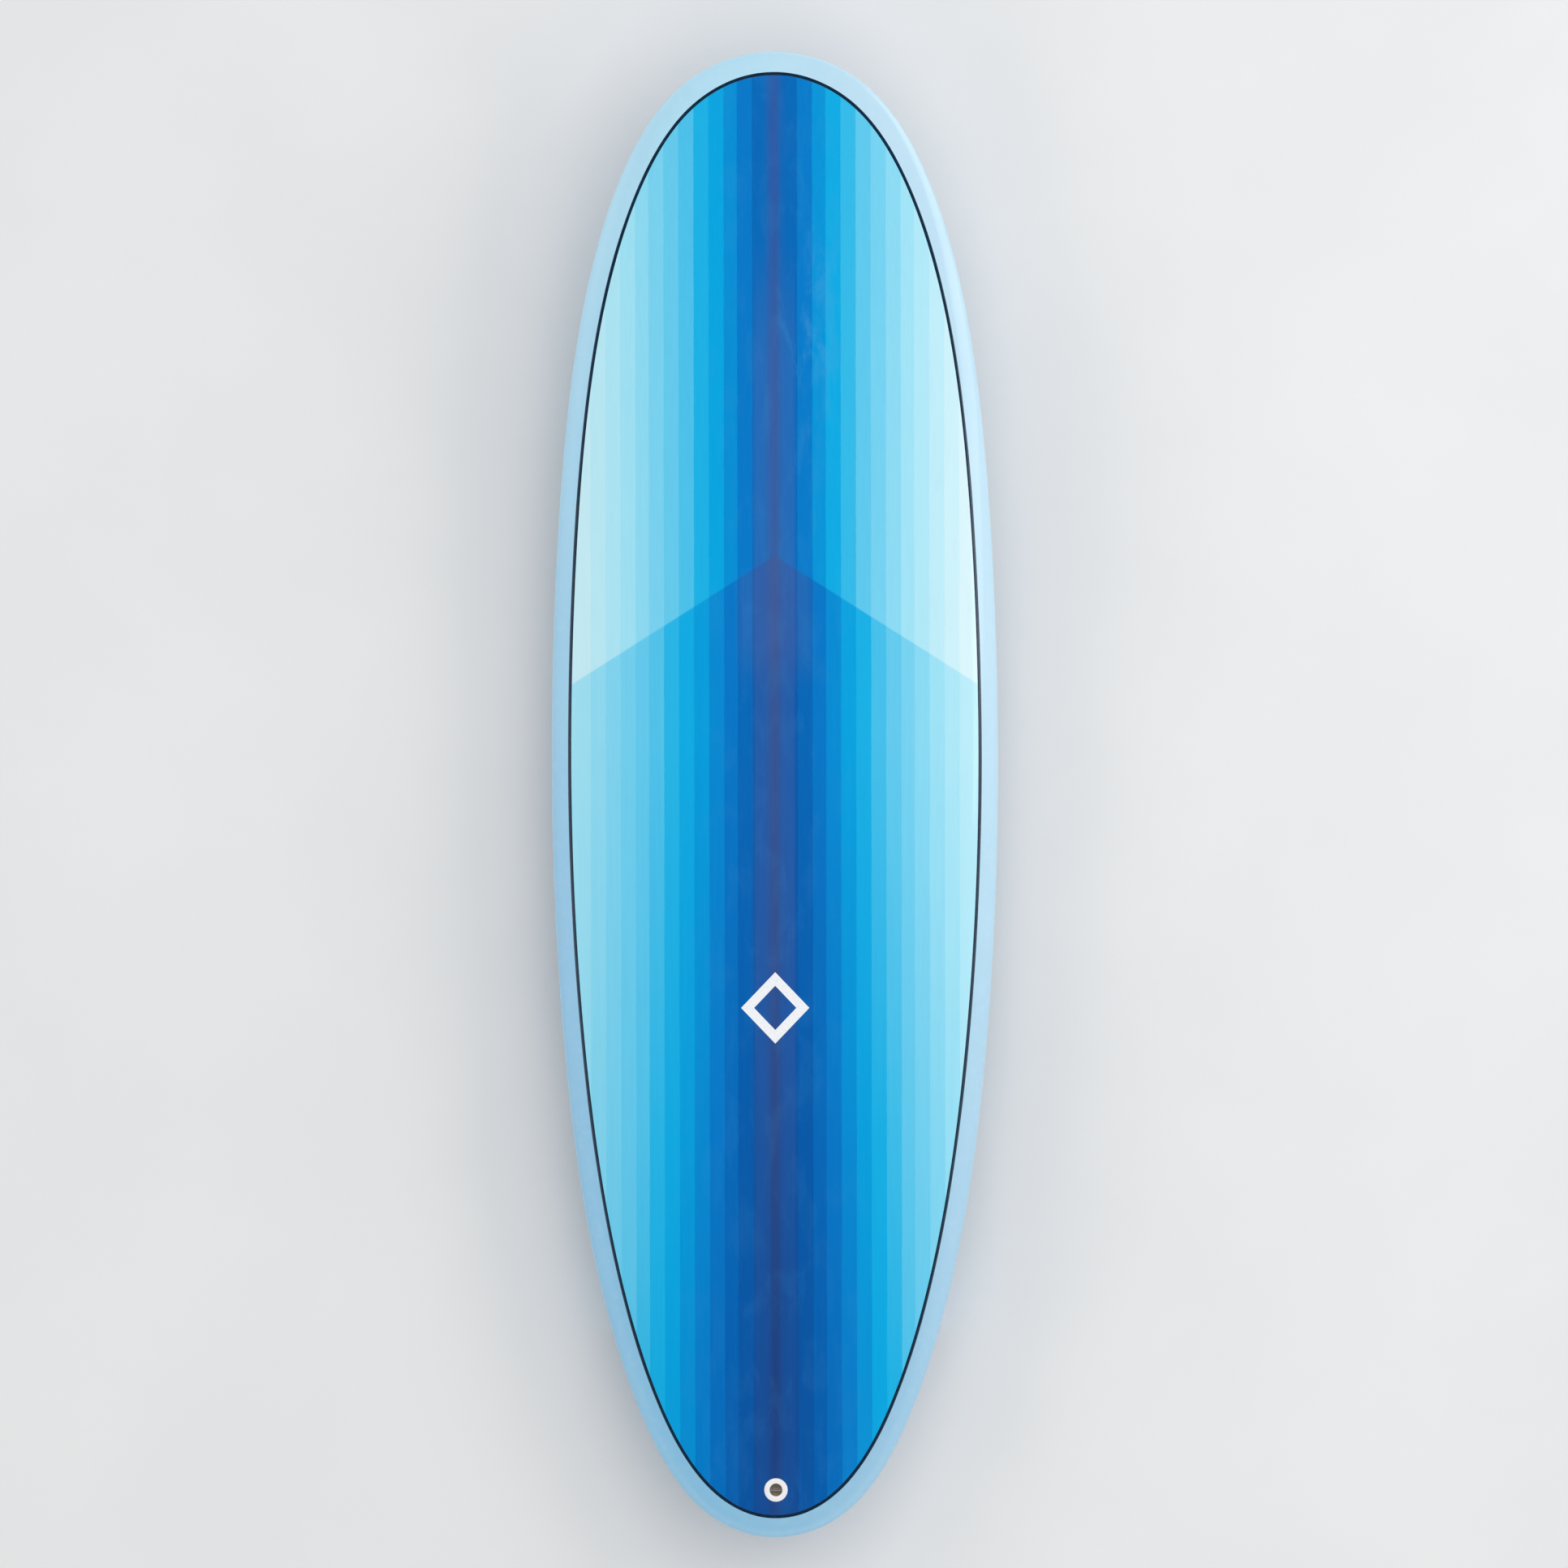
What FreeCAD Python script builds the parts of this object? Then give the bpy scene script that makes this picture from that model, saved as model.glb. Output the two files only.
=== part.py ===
import FreeCAD, Part
import math, os

# ---------------------------------------------------------------- frame
# millimetres; +Y towards the nose, +X to the right seen from the deck, +Z out of the deck
# origin: bottom skin on the centreline at mid length

# ---------------------------------------------------------------- driving sizes
LENGTH = 1829.2          # nose tip to tail tip
HALF_L = LENGTH / 2.0
SKIN = 1.2               # glass and cloth skin
TIP_CUT = 0.0178         # where the tips are closed with a small flat, radians
THICK = 67.0             # thickest point of the blank with its skins
STRINGER_W = 5.0
OUTLINE = [290.553, 9.975, 18.148, 2.473, 3.495, -0.233, 1.543, -0.099, 0.69]
PIN_W = 4.0              # width of the pinline
LAP_INSET = 48.0         # lap line on the bottom, in from the outline
DECAL_T = 0.4

PLUG_Y = -856.0          # leash plug centre
PLUG_FLANGE_R = 14.5
PLUG_FLANGE_T = 1.6
PLUG_BODY_R = 11.5
PLUG_DEPTH = 17.0
PLUG_HOLE_R = 7.8
PLUG_HOLE_DEPTH = 14.0
PIN_R = 1.75
PIN_HALF = 10.0
PIN_DEPTH = 4.2

BOX_DEPTH = 18.5
BOX_BOSS_R = 14.5
BOX_BAR_W = 13.0
TAB_L, TAB_T, TAB_D = 22.0, 6.3, 14.0
TAB_Y = 36.0             # tab centres, fore and aft of the box centre
SLOT_CLEAR = 0.15
GRUB_R, GRUB_LEN = 2.5, 7.0
GRUB_BORE_CLEAR = 0.05
FIN_BASE, FIN_DEPTH, FIN_THICK = 115.0, 115.0, 6.5
FIN_GAP = 0.6            # fin base clear of the hull
SIDE_FIN_TE, CENTER_FIN_TE = 290.0, 92.0     # trailing edges, from the tail tip
SIDE_FIN_RAIL = 32.0     # side fins, in from the rail
CANT_DEG, TOE_DEG = 5.0, 2.2

V = FreeCAD.Vector
os.makedirs("parts", exist_ok=True)


# ---------------------------------------------------------------- hull as plain functions
def half_width(th):
    return sum(a * math.sin((k + 1) * th) for k, a in enumerate(OUTLINE))


def d_half_width(th):
    return sum((k + 1) * a * math.cos((k + 1) * th) for k, a in enumerate(OUTLINE))


def rocker(y):
    u = y / HALF_L
    return 67.6 * u ** 2 + 56.6 * u ** 3 + 14.9 * u ** 4 - 21.1 * u ** 5


def thick(y):
    u = y / HALF_L
    return THICK - 50.5 * u ** 2 - 3.5 * u ** 3


def apex_part(y):
    return 0.33 + 0.08 * y / HALF_L


def roll_off(th):
    return math.sqrt(max(0.0, 1.0 - abs(math.cos(th)) ** 40))


def z_apex(y):
    return rocker(y) + apex_part(y) * thick(y)


def deck_p(s, y):
    return 0.70 * s ** 2 + 0.30 * s ** 4


def bottom_mix(y):
    g = 0.5 * (1.0 + math.tanh(2.2 * y / HALF_L))      # 0 at the tail, 1 at the nose
    a = 0.05 + 0.26 * g * g
    b = 0.07 + 0.60 * g
    return a, b, 1.0 - a - b


def bottom_p(s, y):
    a, b, c = bottom_mix(y)
    return a * s ** 2 + b * s ** 6 + c * s ** 20


def hull_point(th, al, deck, inset):
    y = (HALF_L - inset) * math.cos(th)
    w = half_width(th) - inset * math.sin(th)
    s = math.sin(al)
    r = roll_off(th)
    t, a = thick(y), apex_part(y)
    if deck:
        h = ((1.0 - a) * t - inset) * r
        z = z_apex(y) + h * math.sqrt(max(0.0, 1.0 - deck_p(abs(s), y)))
    else:
        h = (a * t - inset) * r
        z = z_apex(y) - h * math.sqrt(max(0.0, 1.0 - bottom_p(abs(s), y)))
    return (w * s, y, z)


def deck_height(x, y):
    th = math.acos(max(-1.0, min(1.0, y / HALF_L)))
    s = x / half_width(th)
    return hull_point(th, math.asin(s), True, 0.0)[2]


def bottom_height(x, y):
    th = math.acos(max(-1.0, min(1.0, y / HALF_L)))
    s = x / half_width(th)
    return hull_point(th, math.asin(s), False, 0.0)[2]


PIN_INSET = [(0, 26.5), (3, 26.6), (6, 27.2), (10, 28.1), (15, 28.5), (20, 28.2), (25, 27.7), (30, 27.2),
             (35, 26.3), (40, 25.3), (50, 23.5), (60, 22.6), (70, 22.3), (80, 22.2), (90, 22.3), (100, 22.8),
             (110, 23.9), (120, 25.0), (130, 25.5), (140, 25.2), (150, 25.7), (160, 27.2), (165, 27.3),
             (170, 26.7), (175, 25.8), (180, 25.4)]


def pin_inset(th):
    d = math.degrees(th)
    # smooth running mean of the table
    tot = wt = 0.0
    for k in range(-4, 5):
        q = abs(d + k * 2.0)
        if q > 180.0:
            q = 360.0 - q
        for (d0, v0), (d1, v1) in zip(PIN_INSET, PIN_INSET[1:]):
            if d0 <= q <= d1:
                v = v0 + (v1 - v0) * (q - d0) / (d1 - d0)
                break
        g = math.exp(-(k * 2.0) ** 2 / 32.0)
        tot += g * v
        wt += g
    return tot / wt


def inset_outline(dist, n=120):
    """closed plan curve a given distance inside the outline; dist is a number or a function of th"""
    pts = []
    for i in range(n):
        t = 2.0 * math.pi * i / n
        th = t if t <= math.pi else 2.0 * math.pi - t
        sg = 1.0 if t <= math.pi else -1.0
        x, y = half_width(th), HALF_L * math.cos(th)
        tx, ty = d_half_width(th), -HALF_L * math.sin(th)
        m = math.hypot(tx, ty)
        nx, ny = -ty / m, tx / m
        d = dist(th) if callable(dist) else dist
        pts.append(V(sg * (x - d * nx), y - d * ny, 0.0))
    c = Part.BSplineCurve()
    c.interpolate(Points=pts, PeriodicFlag=True)
    return c


# ---------------------------------------------------------------- tensor B-spline through a grid
def basis_row(t, knots, n_poles):
    p = 3
    k = p
    while k < n_poles - 1 and t >= knots[k + 1]:
        k += 1
    nb = [1.0]
    for d in range(1, p + 1):
        new = [0.0] * (d + 1)
        for j in range(d):
            i = k - d + 1 + j
            den = knots[i + d] - knots[i]
            w = nb[j] / den if den else 0.0
            new[j] += w * (knots[i + d] - t)
            new[j + 1] += w * (t - knots[i])
        nb = new
    row = [0.0] * n_poles
    for j in range(p + 1):
        row[k - p + j] = nb[j]
    return row


def spline_setup(n):
    ks = [0.0] + [float(i) for i in range(2, n - 1)] + [float(n)]
    ms = [4] + [1] * (n - 3) + [4]
    flat = []
    for k, m in zip(ks, ms):
        flat += [k] * m
    a = [basis_row(float(i), flat, n + 1) for i in range(n + 1)]
    m = n + 1
    perm = list(range(m))
    for c in range(m):
        piv = max(range(c, min(m, c + 5)), key=lambda r: abs(a[r][c]))
        if piv != c:
            a[c], a[piv] = a[piv], a[c]
            perm[c], perm[piv] = perm[piv], perm[c]
        for r in range(c + 1, min(m, c + 5)):
            if a[r][c] != 0.0:
                f = a[r][c] / a[c][c]
                a[r][c] = f
                for q in range(c + 1, min(m, c + 9)):
                    a[r][q] -= f * a[c][q]
            else:
                a[r][c] = 0.0
    return ks, ms, a, perm


def solve(setup, rhs):
    ks, ms, a, perm = setup
    m = len(perm)
    x = [rhs[p] for p in perm]
    for r in range(m):
        for c in range(max(0, r - 5), r):
            if a[r][c]:
                x[r] -= a[r][c] * x[c]
    for r in range(m - 1, -1, -1):
        for c in range(r + 1, min(m, r + 9)):
            if a[r][c]:
                x[r] -= a[r][c] * x[c]
        x[r] /= a[r][r]
    return x


_cache = {}


def setup_for(n):
    if n not in _cache:
        _cache[n] = spline_setup(n)
    return _cache[n]


def surface(grid):
    nu, nv = len(grid) - 1, len(grid[0]) - 1
    su, sv = setup_for(nu), setup_for(nv)
    mid = [[[0.0] * 3 for _ in range(nv + 1)] for _ in range(nu + 1)]
    for j in range(nv + 1):
        for c in range(3):
            col = solve(su, [grid[i][j][c] for i in range(nu + 1)])
            for i in range(nu + 1):
                mid[i][j][c] = col[i]
    poles = []
    for i in range(nu + 1):
        cols = [solve(sv, [mid[i][j][c] for j in range(nv + 1)]) for c in range(3)]
        poles.append([V(cols[0][j], cols[1][j], cols[2][j]) for j in range(nv + 1)])
    s = Part.BSplineSurface()
    s.buildFromPolesMultsKnots(poles, su[1], sv[1], su[0], sv[0], False, False, 3, 3)
    return s


def close_solid(faces, tol=1e-4):
    sh = Part.makeShell(faces)
    sh.sewShape(tol)
    shells = sh.Shells if sh.Shells else [sh]
    so = Part.makeSolid(shells[0])
    if so.Volume < 0:
        so.reverse()
    return so


def cap(s1, s2, at_start, u_max):
    u = 0.0 if at_start else u_max
    e1, e2 = s1.uIso(u).toShape(), s2.uIso(u).toShape()
    return Part.Face(Part.Wire(Part.__sortEdges__([e1, e2])))


def hull_solid(inset, nu=72, nd=36, nb=60):
    ths = [TIP_CUT + (math.pi - 2.0 * TIP_CUT) * i / nu for i in range(nu + 1)]

    def grid(deck, n):
        return [[hull_point(th, -math.pi / 2 + math.pi * j / n, deck, inset) for j in range(n + 1)] for th in ths]
    sd, sb = surface(grid(True, nd)), surface(grid(False, nb))
    fs = [sd.toShape(), sb.toShape(), cap(sd, sb, True, nu), cap(sd, sb, False, nu)]
    return close_solid(fs)


def one(shape):
    s = shape
    if s.ShapeType != "Solid":
        sol = [q for q in s.Solids if q.Volume > 1.0]
        sol.sort(key=lambda q: -q.Volume)
        s = sol[0] if len(sol) == 1 else Part.makeCompound(sol)
    return s


PARTS = {}


def keep(name, shape):
    sol = [q for q in shape.Solids if q.Volume > 0.5]
    out = sol[0] if len(sol) == 1 else Part.makeCompound(sol)
    PARTS[name] = out
    bb = out.BoundBox
    print("%-20s solids %d vol %.1f valid %s box %.1f %.1f %.1f .. %.1f %.1f %.1f" % (
        name, len(sol), out.Volume, out.isValid(), bb.XMin, bb.YMin, bb.ZMin, bb.XMax, bb.YMax, bb.ZMax))


# ---------------------------------------------------------------- hull and blank
GLUE = 0.06              # resin line between the blank and its skins
SEAM = 0.05              # resin line between neighbouring skin pieces


def surf_z(x, y, deck, inset):
    """height of the deck or bottom, offset inwards, above a plan point"""
    c = max(-1.0, min(1.0, y / (HALF_L - inset)))
    th = math.acos(c)
    w = half_width(th) - inset * math.sin(th)
    s = min(1.0, abs(x) / w) if w > 1e-9 else 0.0
    return hull_point(th, math.asin(s), deck, inset)[2]


def outline_at(th, inset=0.0):
    return half_width(th) - inset * math.sin(th), (HALF_L - inset) * math.cos(th)


def plan_inset(th, dist):
    """plan point a distance inside the outline, along its normal"""
    x, y = outline_at(th)
    tx, ty = d_half_width(th), -HALF_L * math.sin(th)
    m = math.hypot(tx, ty)
    return x + dist * ty / m, y - dist * tx / m


def edge_between(a, b):
    return Part.makeLine(V(*a), V(*b))


def flat_face(edges):
    return Part.Face(Part.Wire(Part.__sortEdges__(edges)))


def thetas(n, cut=0.0):
    return [cut + (math.pi - 2.0 * cut) * i / n for i in range(n + 1)]


def panel(curve, deck, nu=72, nv=28, cut=0.03):
    """one skin panel inside a closed plan curve, deck or bottom"""
    ths = thetas(nu, cut)
    top, low = [], []
    for th in ths:
        cx, cy = curve(th)
        xs = [cx * (2.0 * j / nv - 1.0) for j in range(nv + 1)]
        top.append([(x, cy, surf_z(x, cy, deck, 0.0)) for x in xs])
        low.append([(x, cy, surf_z(x, cy, deck, SKIN)) for x in xs])
    st, sl = surface(top), surface(low)
    faces = [st.toShape(), sl.toShape()]
    for v in (0.0, float(nv)):
        faces.append(Part.makeRuledSurface(st.vIso(v).toShape(), sl.vIso(v).toShape()))
    for i in (0, -1):
        u = 0.0 if i == 0 else float(nu)
        faces.append(flat_face([st.uIso(u).toShape(), sl.uIso(u).toShape(),
                                edge_between(top[i][0], low[i][0]), edge_between(top[i][-1], low[i][-1])]))
    return close_solid(faces)


def fuse_halves(half):
    other = half.mirror(V(0, 0, 0), V(1, 0, 0))
    return half.fuse(other)


def pin_half(d_in, d_out, nu=72):
    nv = 4
    ths = thetas(nu)
    top, low = [], []
    for th in ths:
        ax, ay = plan_inset(th, d_in(th))
        bx, by = plan_inset(th, d_out(th))
        pl = [(ax + (bx - ax) * j / nv, ay + (by - ay) * j / nv) for j in range(nv + 1)]
        if th in (ths[0], ths[-1]):
            pl = [(0.0, y) for x, y in pl]
        top.append([(x, y, surf_z(x, y, True, 0.0)) for x, y in pl])
        low.append([(x, y, surf_z(x, y, True, SKIN)) for x, y in pl])
    st, sl = surface(top), surface(low)
    faces = [st.toShape(), sl.toShape()]
    for v in (0.0, float(nv)):
        faces.append(Part.makeRuledSurface(st.vIso(v).toShape(), sl.vIso(v).toShape()))
    for i in (0, -1):
        u = 0.0 if i == 0 else float(nu)
        faces.append(flat_face([st.uIso(u).toShape(), sl.uIso(u).toShape(),
                                edge_between(top[i][0], low[i][0]), edge_between(top[i][-1], low[i][-1])]))
    return close_solid(faces)


def rail_half(d_deck, d_low, nu=72, nd=18, nb=26):
    ths = thetas(nu)

    def strip(deck, inset, n, d_fun):
        rows = []
        for th in ths:
            px, py = plan_inset(th, d_fun(th))
            ox, oy = outline_at(th, inset)
            end = th in (ths[0], ths[-1])
            row = []
            for j in range(n + 1):
                q = (j / float(n)) ** 2
                x, y = ox + (px - ox) * q, oy + (py - oy) * q
                if end:
                    x = 0.0
                z = z_apex(y) if j == 0 else surf_z(x, y, deck, inset)
                row.append((x, y, z))
            rows.append(row)
        return rows
    g = [strip(True, 0.0, nd, d_deck), strip(False, 0.0, nb, d_low), strip(True, SKIN, nd, d_deck), strip(False, SKIN, nb, d_low)]
    od, ob, idk, ibt = [surface(q) for q in g]
    faces = [q.toShape() for q in (od, ob, idk, ibt)]
    faces.append(Part.makeRuledSurface(od.vIso(float(nd)).toShape(), idk.vIso(float(nd)).toShape()))
    faces.append(Part.makeRuledSurface(ob.vIso(float(nb)).toShape(), ibt.vIso(float(nb)).toShape()))
    for i in (0, -1):
        u = 0.0 if i == 0 else float(nu)
        faces.append(flat_face([q.uIso(u).toShape() for q in (od, ob, idk, ibt)] +
                               [edge_between(g[0][i][-1], g[2][i][-1]), edge_between(g[1][i][-1], g[3][i][-1])]))
    return close_solid(faces)


def blank_part(x_in, nu=72, nd=24, nb=40):
    """the blank from a plane x = x_in out to the rail on the right, or the strip |x| < x_in if nd is 0"""
    inset = SKIN + GLUE
    ths = thetas(nu, TIP_CUT)

    def grid(deck, n):
        rows = []
        for th in ths:
            w, y = outline_at(th, inset)
            row = []
            for j in range(n + 1):
                x = x_in + (w - x_in) * math.sin(math.pi / 2 * j / n)
                row.append((x, y, z_apex(y) if j == n else surf_z(x, y, deck, inset)))
            rows.append(row)
        return rows
    gd, gb = grid(True, nd), grid(False, nb)
    sd, sb = surface(gd), surface(gb)
    faces = [sd.toShape(), sb.toShape()]
    lines = [edge_between(gd[i][0], gb[i][0]) for i in (0, -1)]
    faces.append(flat_face([sd.vIso(0.0).toShape(), sb.vIso(0.0).toShape()] + lines))
    for i, u in ((0, 0.0), (1, float(nu))):
        faces.append(flat_face([sd.uIso(u).toShape(), sb.uIso(u).toShape(), lines[i]]))
    return close_solid(faces)


def stringer_part(hw, nu=72):
    inset, nv = SKIN + GLUE, 4
    ths = thetas(nu, TIP_CUT)

    def grid(deck):
        rows = []
        for th in ths:
            y = outline_at(th, inset)[1]
            rows.append([(hw * (2.0 * j / nv - 1.0), y, surf_z(hw * (2.0 * j / nv - 1.0), y, deck, inset)) for j in range(nv + 1)])
        return rows
    gd, gb = grid(True), grid(False)
    sd, sb = surface(gd), surface(gb)
    faces = [sd.toShape(), sb.toShape()]
    ln = {(i, j): edge_between(gd[i][j], gb[i][j]) for i in (0, -1) for j in (0, -1)}
    for j, v in ((0, 0.0), (-1, float(nv))):
        faces.append(flat_face([sd.vIso(v).toShape(), sb.vIso(v).toShape(), ln[0, j], ln[-1, j]]))
    for i, u in ((0, 0.0), (-1, float(nu))):
        faces.append(flat_face([sd.uIso(u).toShape(), sb.uIso(u).toShape(), ln[i, 0], ln[i, -1]]))
    return close_solid(faces)


outer = hull_solid(0.0)
hw = STRINGER_W / 2.0
half_pin = PIN_W / 2.0
deck_inlay = panel(lambda th: plan_inset(th, pin_inset(th) + half_pin + SEAM), True)
pin_ring = fuse_halves(pin_half(lambda th: pin_inset(th) + half_pin, lambda th: pin_inset(th) - half_pin))
rail = fuse_halves(rail_half(lambda th: pin_inset(th) - half_pin - SEAM, lambda th: LAP_INSET - SEAM))
bottom = panel(lambda th: plan_inset(th, LAP_INSET), False, nv=36)
foam_r = blank_part(hw + 0.0)
foam_l = foam_r.mirror(V(0, 0, 0), V(1, 0, 0))
string = stringer_part(hw)
for nm, s in (("outer", outer), ("deck", deck_inlay), ("pin", pin_ring), ("rail", rail), ("bottom", bottom),
              ("foam", foam_r), ("stringer", string)):
    print(nm, s.ShapeType, [round(q.Volume, 1) for q in s.Solids], s.isValid())


# ---------------------------------------------------------------- leash plug
dy = 2.0
z_plug = deck_height(0.0, PLUG_Y) + 0.25
slope = (deck_height(0.0, PLUG_Y + dy) - deck_height(0.0, PLUG_Y - dy)) / (2 * dy)
plug_place = FreeCAD.Placement(V(0, PLUG_Y, z_plug), FreeCAD.Rotation(V(1, 0, 0), math.degrees(math.atan(slope))))


def turned(profile):
    pts = [V(r, 0, z) for r, z in profile]
    w = Part.makePolygon(pts + [pts[0]])
    return Part.Face(w).revolve(V(0, 0, 0), V(0, 0, 1), 360.0)


env = turned([(0, 2.0), (PLUG_FLANGE_R, 2.0), (PLUG_FLANGE_R, -PLUG_FLANGE_T), (PLUG_BODY_R, -PLUG_FLANGE_T - 1.0),
              (PLUG_BODY_R, -PLUG_DEPTH + 1.0), (PLUG_BODY_R - 1.0, -PLUG_DEPTH), (0, -PLUG_DEPTH)])
cup = turned([(PLUG_HOLE_R + 0.7, 0), (PLUG_FLANGE_R - 0.6, 0), (PLUG_FLANGE_R, -0.5), (PLUG_FLANGE_R, -PLUG_FLANGE_T),
              (PLUG_BODY_R, -PLUG_FLANGE_T - 1.0), (PLUG_BODY_R, -PLUG_DEPTH + 1.0), (PLUG_BODY_R - 1.0, -PLUG_DEPTH),
              (0, -PLUG_DEPTH), (0, -PLUG_HOLE_DEPTH), (3.5, -PLUG_HOLE_DEPTH + 0.5), (6.4, -PLUG_HOLE_DEPTH + 2.4),
              (PLUG_HOLE_R, -PLUG_HOLE_DEPTH + 5.0), (PLUG_HOLE_R, -0.7)])
pin = Part.makeCylinder(PIN_R, 2 * PIN_HALF, V(-PIN_HALF, 0, -PIN_DEPTH), V(1, 0, 0))
cup = cup.cut(pin)
for q in (env, cup, pin):
    q.Placement = plug_place


# ---------------------------------------------------------------- fins, boxes and set screws
def fin_frame(x0, y0, side):
    """placement of a box on the bottom: local +Y to the leading edge, +Z into the board"""
    toe, cant = math.radians(TOE_DEG) * abs(side), math.radians(CANT_DEG) * side
    q = 40.0
    slope_y = (bottom_height(x0, y0 + q) - bottom_height(x0, y0 - q)) / (2 * q)
    ey = V(-side * math.sin(toe), math.cos(toe), slope_y)
    ey.normalize()
    down = V(math.sin(cant), 0.0, -math.cos(cant))
    down = down - ey * down.dot(ey)
    down.normalize()
    ez = down * -1.0
    ex = ey.cross(ez)
    z0 = bottom_height(x0, y0)
    m = FreeCAD.Matrix(ex.x, ey.x, ez.x, x0, ex.y, ey.y, ez.y, y0, ex.z, ey.z, ez.z, z0, 0, 0, 0, 1)
    return FreeCAD.Placement(m)


def box_env(z0, z1):
    h = z1 - z0
    s = Part.makeCylinder(BOX_BOSS_R, h, V(0, TAB_Y, z0))
    s = s.fuse(Part.makeCylinder(BOX_BOSS_R, h, V(0, -TAB_Y, z0)))
    s = s.fuse(Part.makeBox(BOX_BAR_W, 2 * TAB_Y, h, V(-BOX_BAR_W / 2, -TAB_Y, z0)))
    return s.removeSplitter()


def slot(yc):
    l, t = TAB_L + 2 * SLOT_CLEAR + 0.2, TAB_T + 2 * SLOT_CLEAR
    return Part.makeBox(t, l, 30.0 + TAB_D + 0.5, V(-t / 2, yc - l / 2, -30.0))


SCREW_TILT = 30.0
TIP_X, TIP_Z = 4.9, 8.0


def screw_axis(yc, inboard):
    """tip point and direction from socket end to tip"""
    d = V(-inboard * math.sin(math.radians(SCREW_TILT)), 0, math.cos(math.radians(SCREW_TILT)))
    return V(inboard * TIP_X, yc, TIP_Z), d


def screw_solid(yc, inboard):
    tip, d = screw_axis(yc, inboard)
    prof = [(0, 0), (1.2, 0), (GRUB_R, 1.3), (GRUB_R, GRUB_LEN - 0.35), (GRUB_R - 0.35, GRUB_LEN), (0, GRUB_LEN)]
    s = turned(prof)
    hexa = [V(1.4434 * math.cos(math.radians(60 * k)), 1.4434 * math.sin(math.radians(60 * k)), GRUB_LEN - 3.0) for k in range(7)]
    s = s.cut(Part.Face(Part.makePolygon(hexa)).extrude(V(0, 0, 4.0)))
    s.Placement = FreeCAD.Placement(tip, FreeCAD.Rotation(V(0, 0, 1), d * -1.0))
    return s


def screw_bore(yc, inboard):
    tip, d = screw_axis(yc, inboard)
    start = tip - d * 30.0
    return Part.makeCylinder(GRUB_R + GRUB_BORE_CLEAR, 30.0 + 1.2, start, d)


def fin_outline(t):
    mid = -(14.0 * t + 62.0 * t * t)
    hc = FIN_BASE / 2.0 * (1.0 - 0.55 * t - 0.07 * t * t) * math.sqrt(max(0.0, 1.0 - t ** 8))
    return mid + hc, mid - hc


def foil(beta):
    """half thickness as a part of the full one, beta 0 at the leading edge, pi at the trailing edge"""
    q = math.sin(beta / 2.0)
    x = q * q
    return 5.0 * (0.2969 * q - 0.1260 * x - 0.3516 * x ** 2 + 0.2843 * x ** 3 - 0.1015 * x ** 4), x


def fin_solid(side):
    nu, nv = 30, 24
    both = (side == 0)
    faces = []
    grids = []
    for sg in (1.0, -1.0):
        g = []
        for i in range(nu + 1):
            t = math.sin(math.radians(88.0) * i / nu)
            le, te = fin_outline(t)
            f = math.sqrt(max(0.0, 1.0 - t ** 8))
            tk = FIN_THICK * (1.0 - 0.5 * t) * f
            row = []
            for j in range(nv + 1):
                h, x = foil(math.pi * j / nv)
                ed = 0.40 * x * f * (1.0 - 0.4 * t)
                if both:
                    xx = sg * (tk * h + ed)
                else:
                    xx = side * (-TAB_T / 2.0 + (2.0 * (tk * h + ed) if sg * side > 0 else 0.0))
                row.append((xx, le + (te - le) * x, -FIN_GAP - FIN_DEPTH * t))
            g.append(row)
        grids.append(g)
    sa, sb = surface(grids[0]), surface(grids[1])
    te_face = Part.makeRuledSurface(sa.vIso(nv).toShape(), sb.vIso(nv).toShape())

    def end(u):
        e1, e2 = sa.uIso(u).toShape(), sb.uIso(u).toShape()
        pa, pb = sa.value(u, nv), sb.value(u, nv)
        return Part.Face(Part.Wire(Part.__sortEdges__([e1, Part.makeLine(pa, pb), e2])))
    blade = close_solid([sa.toShape(), sb.toShape(), te_face, end(0.0), end(float(nu))])
    for yc in (TAB_Y, -TAB_Y):
        tab = Part.makeBox(TAB_T, TAB_L, TAB_D - 0.0 + FIN_GAP, V(-TAB_T / 2, yc - TAB_L / 2, -FIN_GAP))
        top = [e for e in tab.Edges if abs(e.BoundBox.ZMin - TAB_D) < 1e-6 and e.BoundBox.XLength < 1e-6 + TAB_T and e.BoundBox.YLength < 1e-6]
        tab = tab.makeFillet(2.0, top)
        blade = blade.fuse(tab)
    return blade


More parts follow.
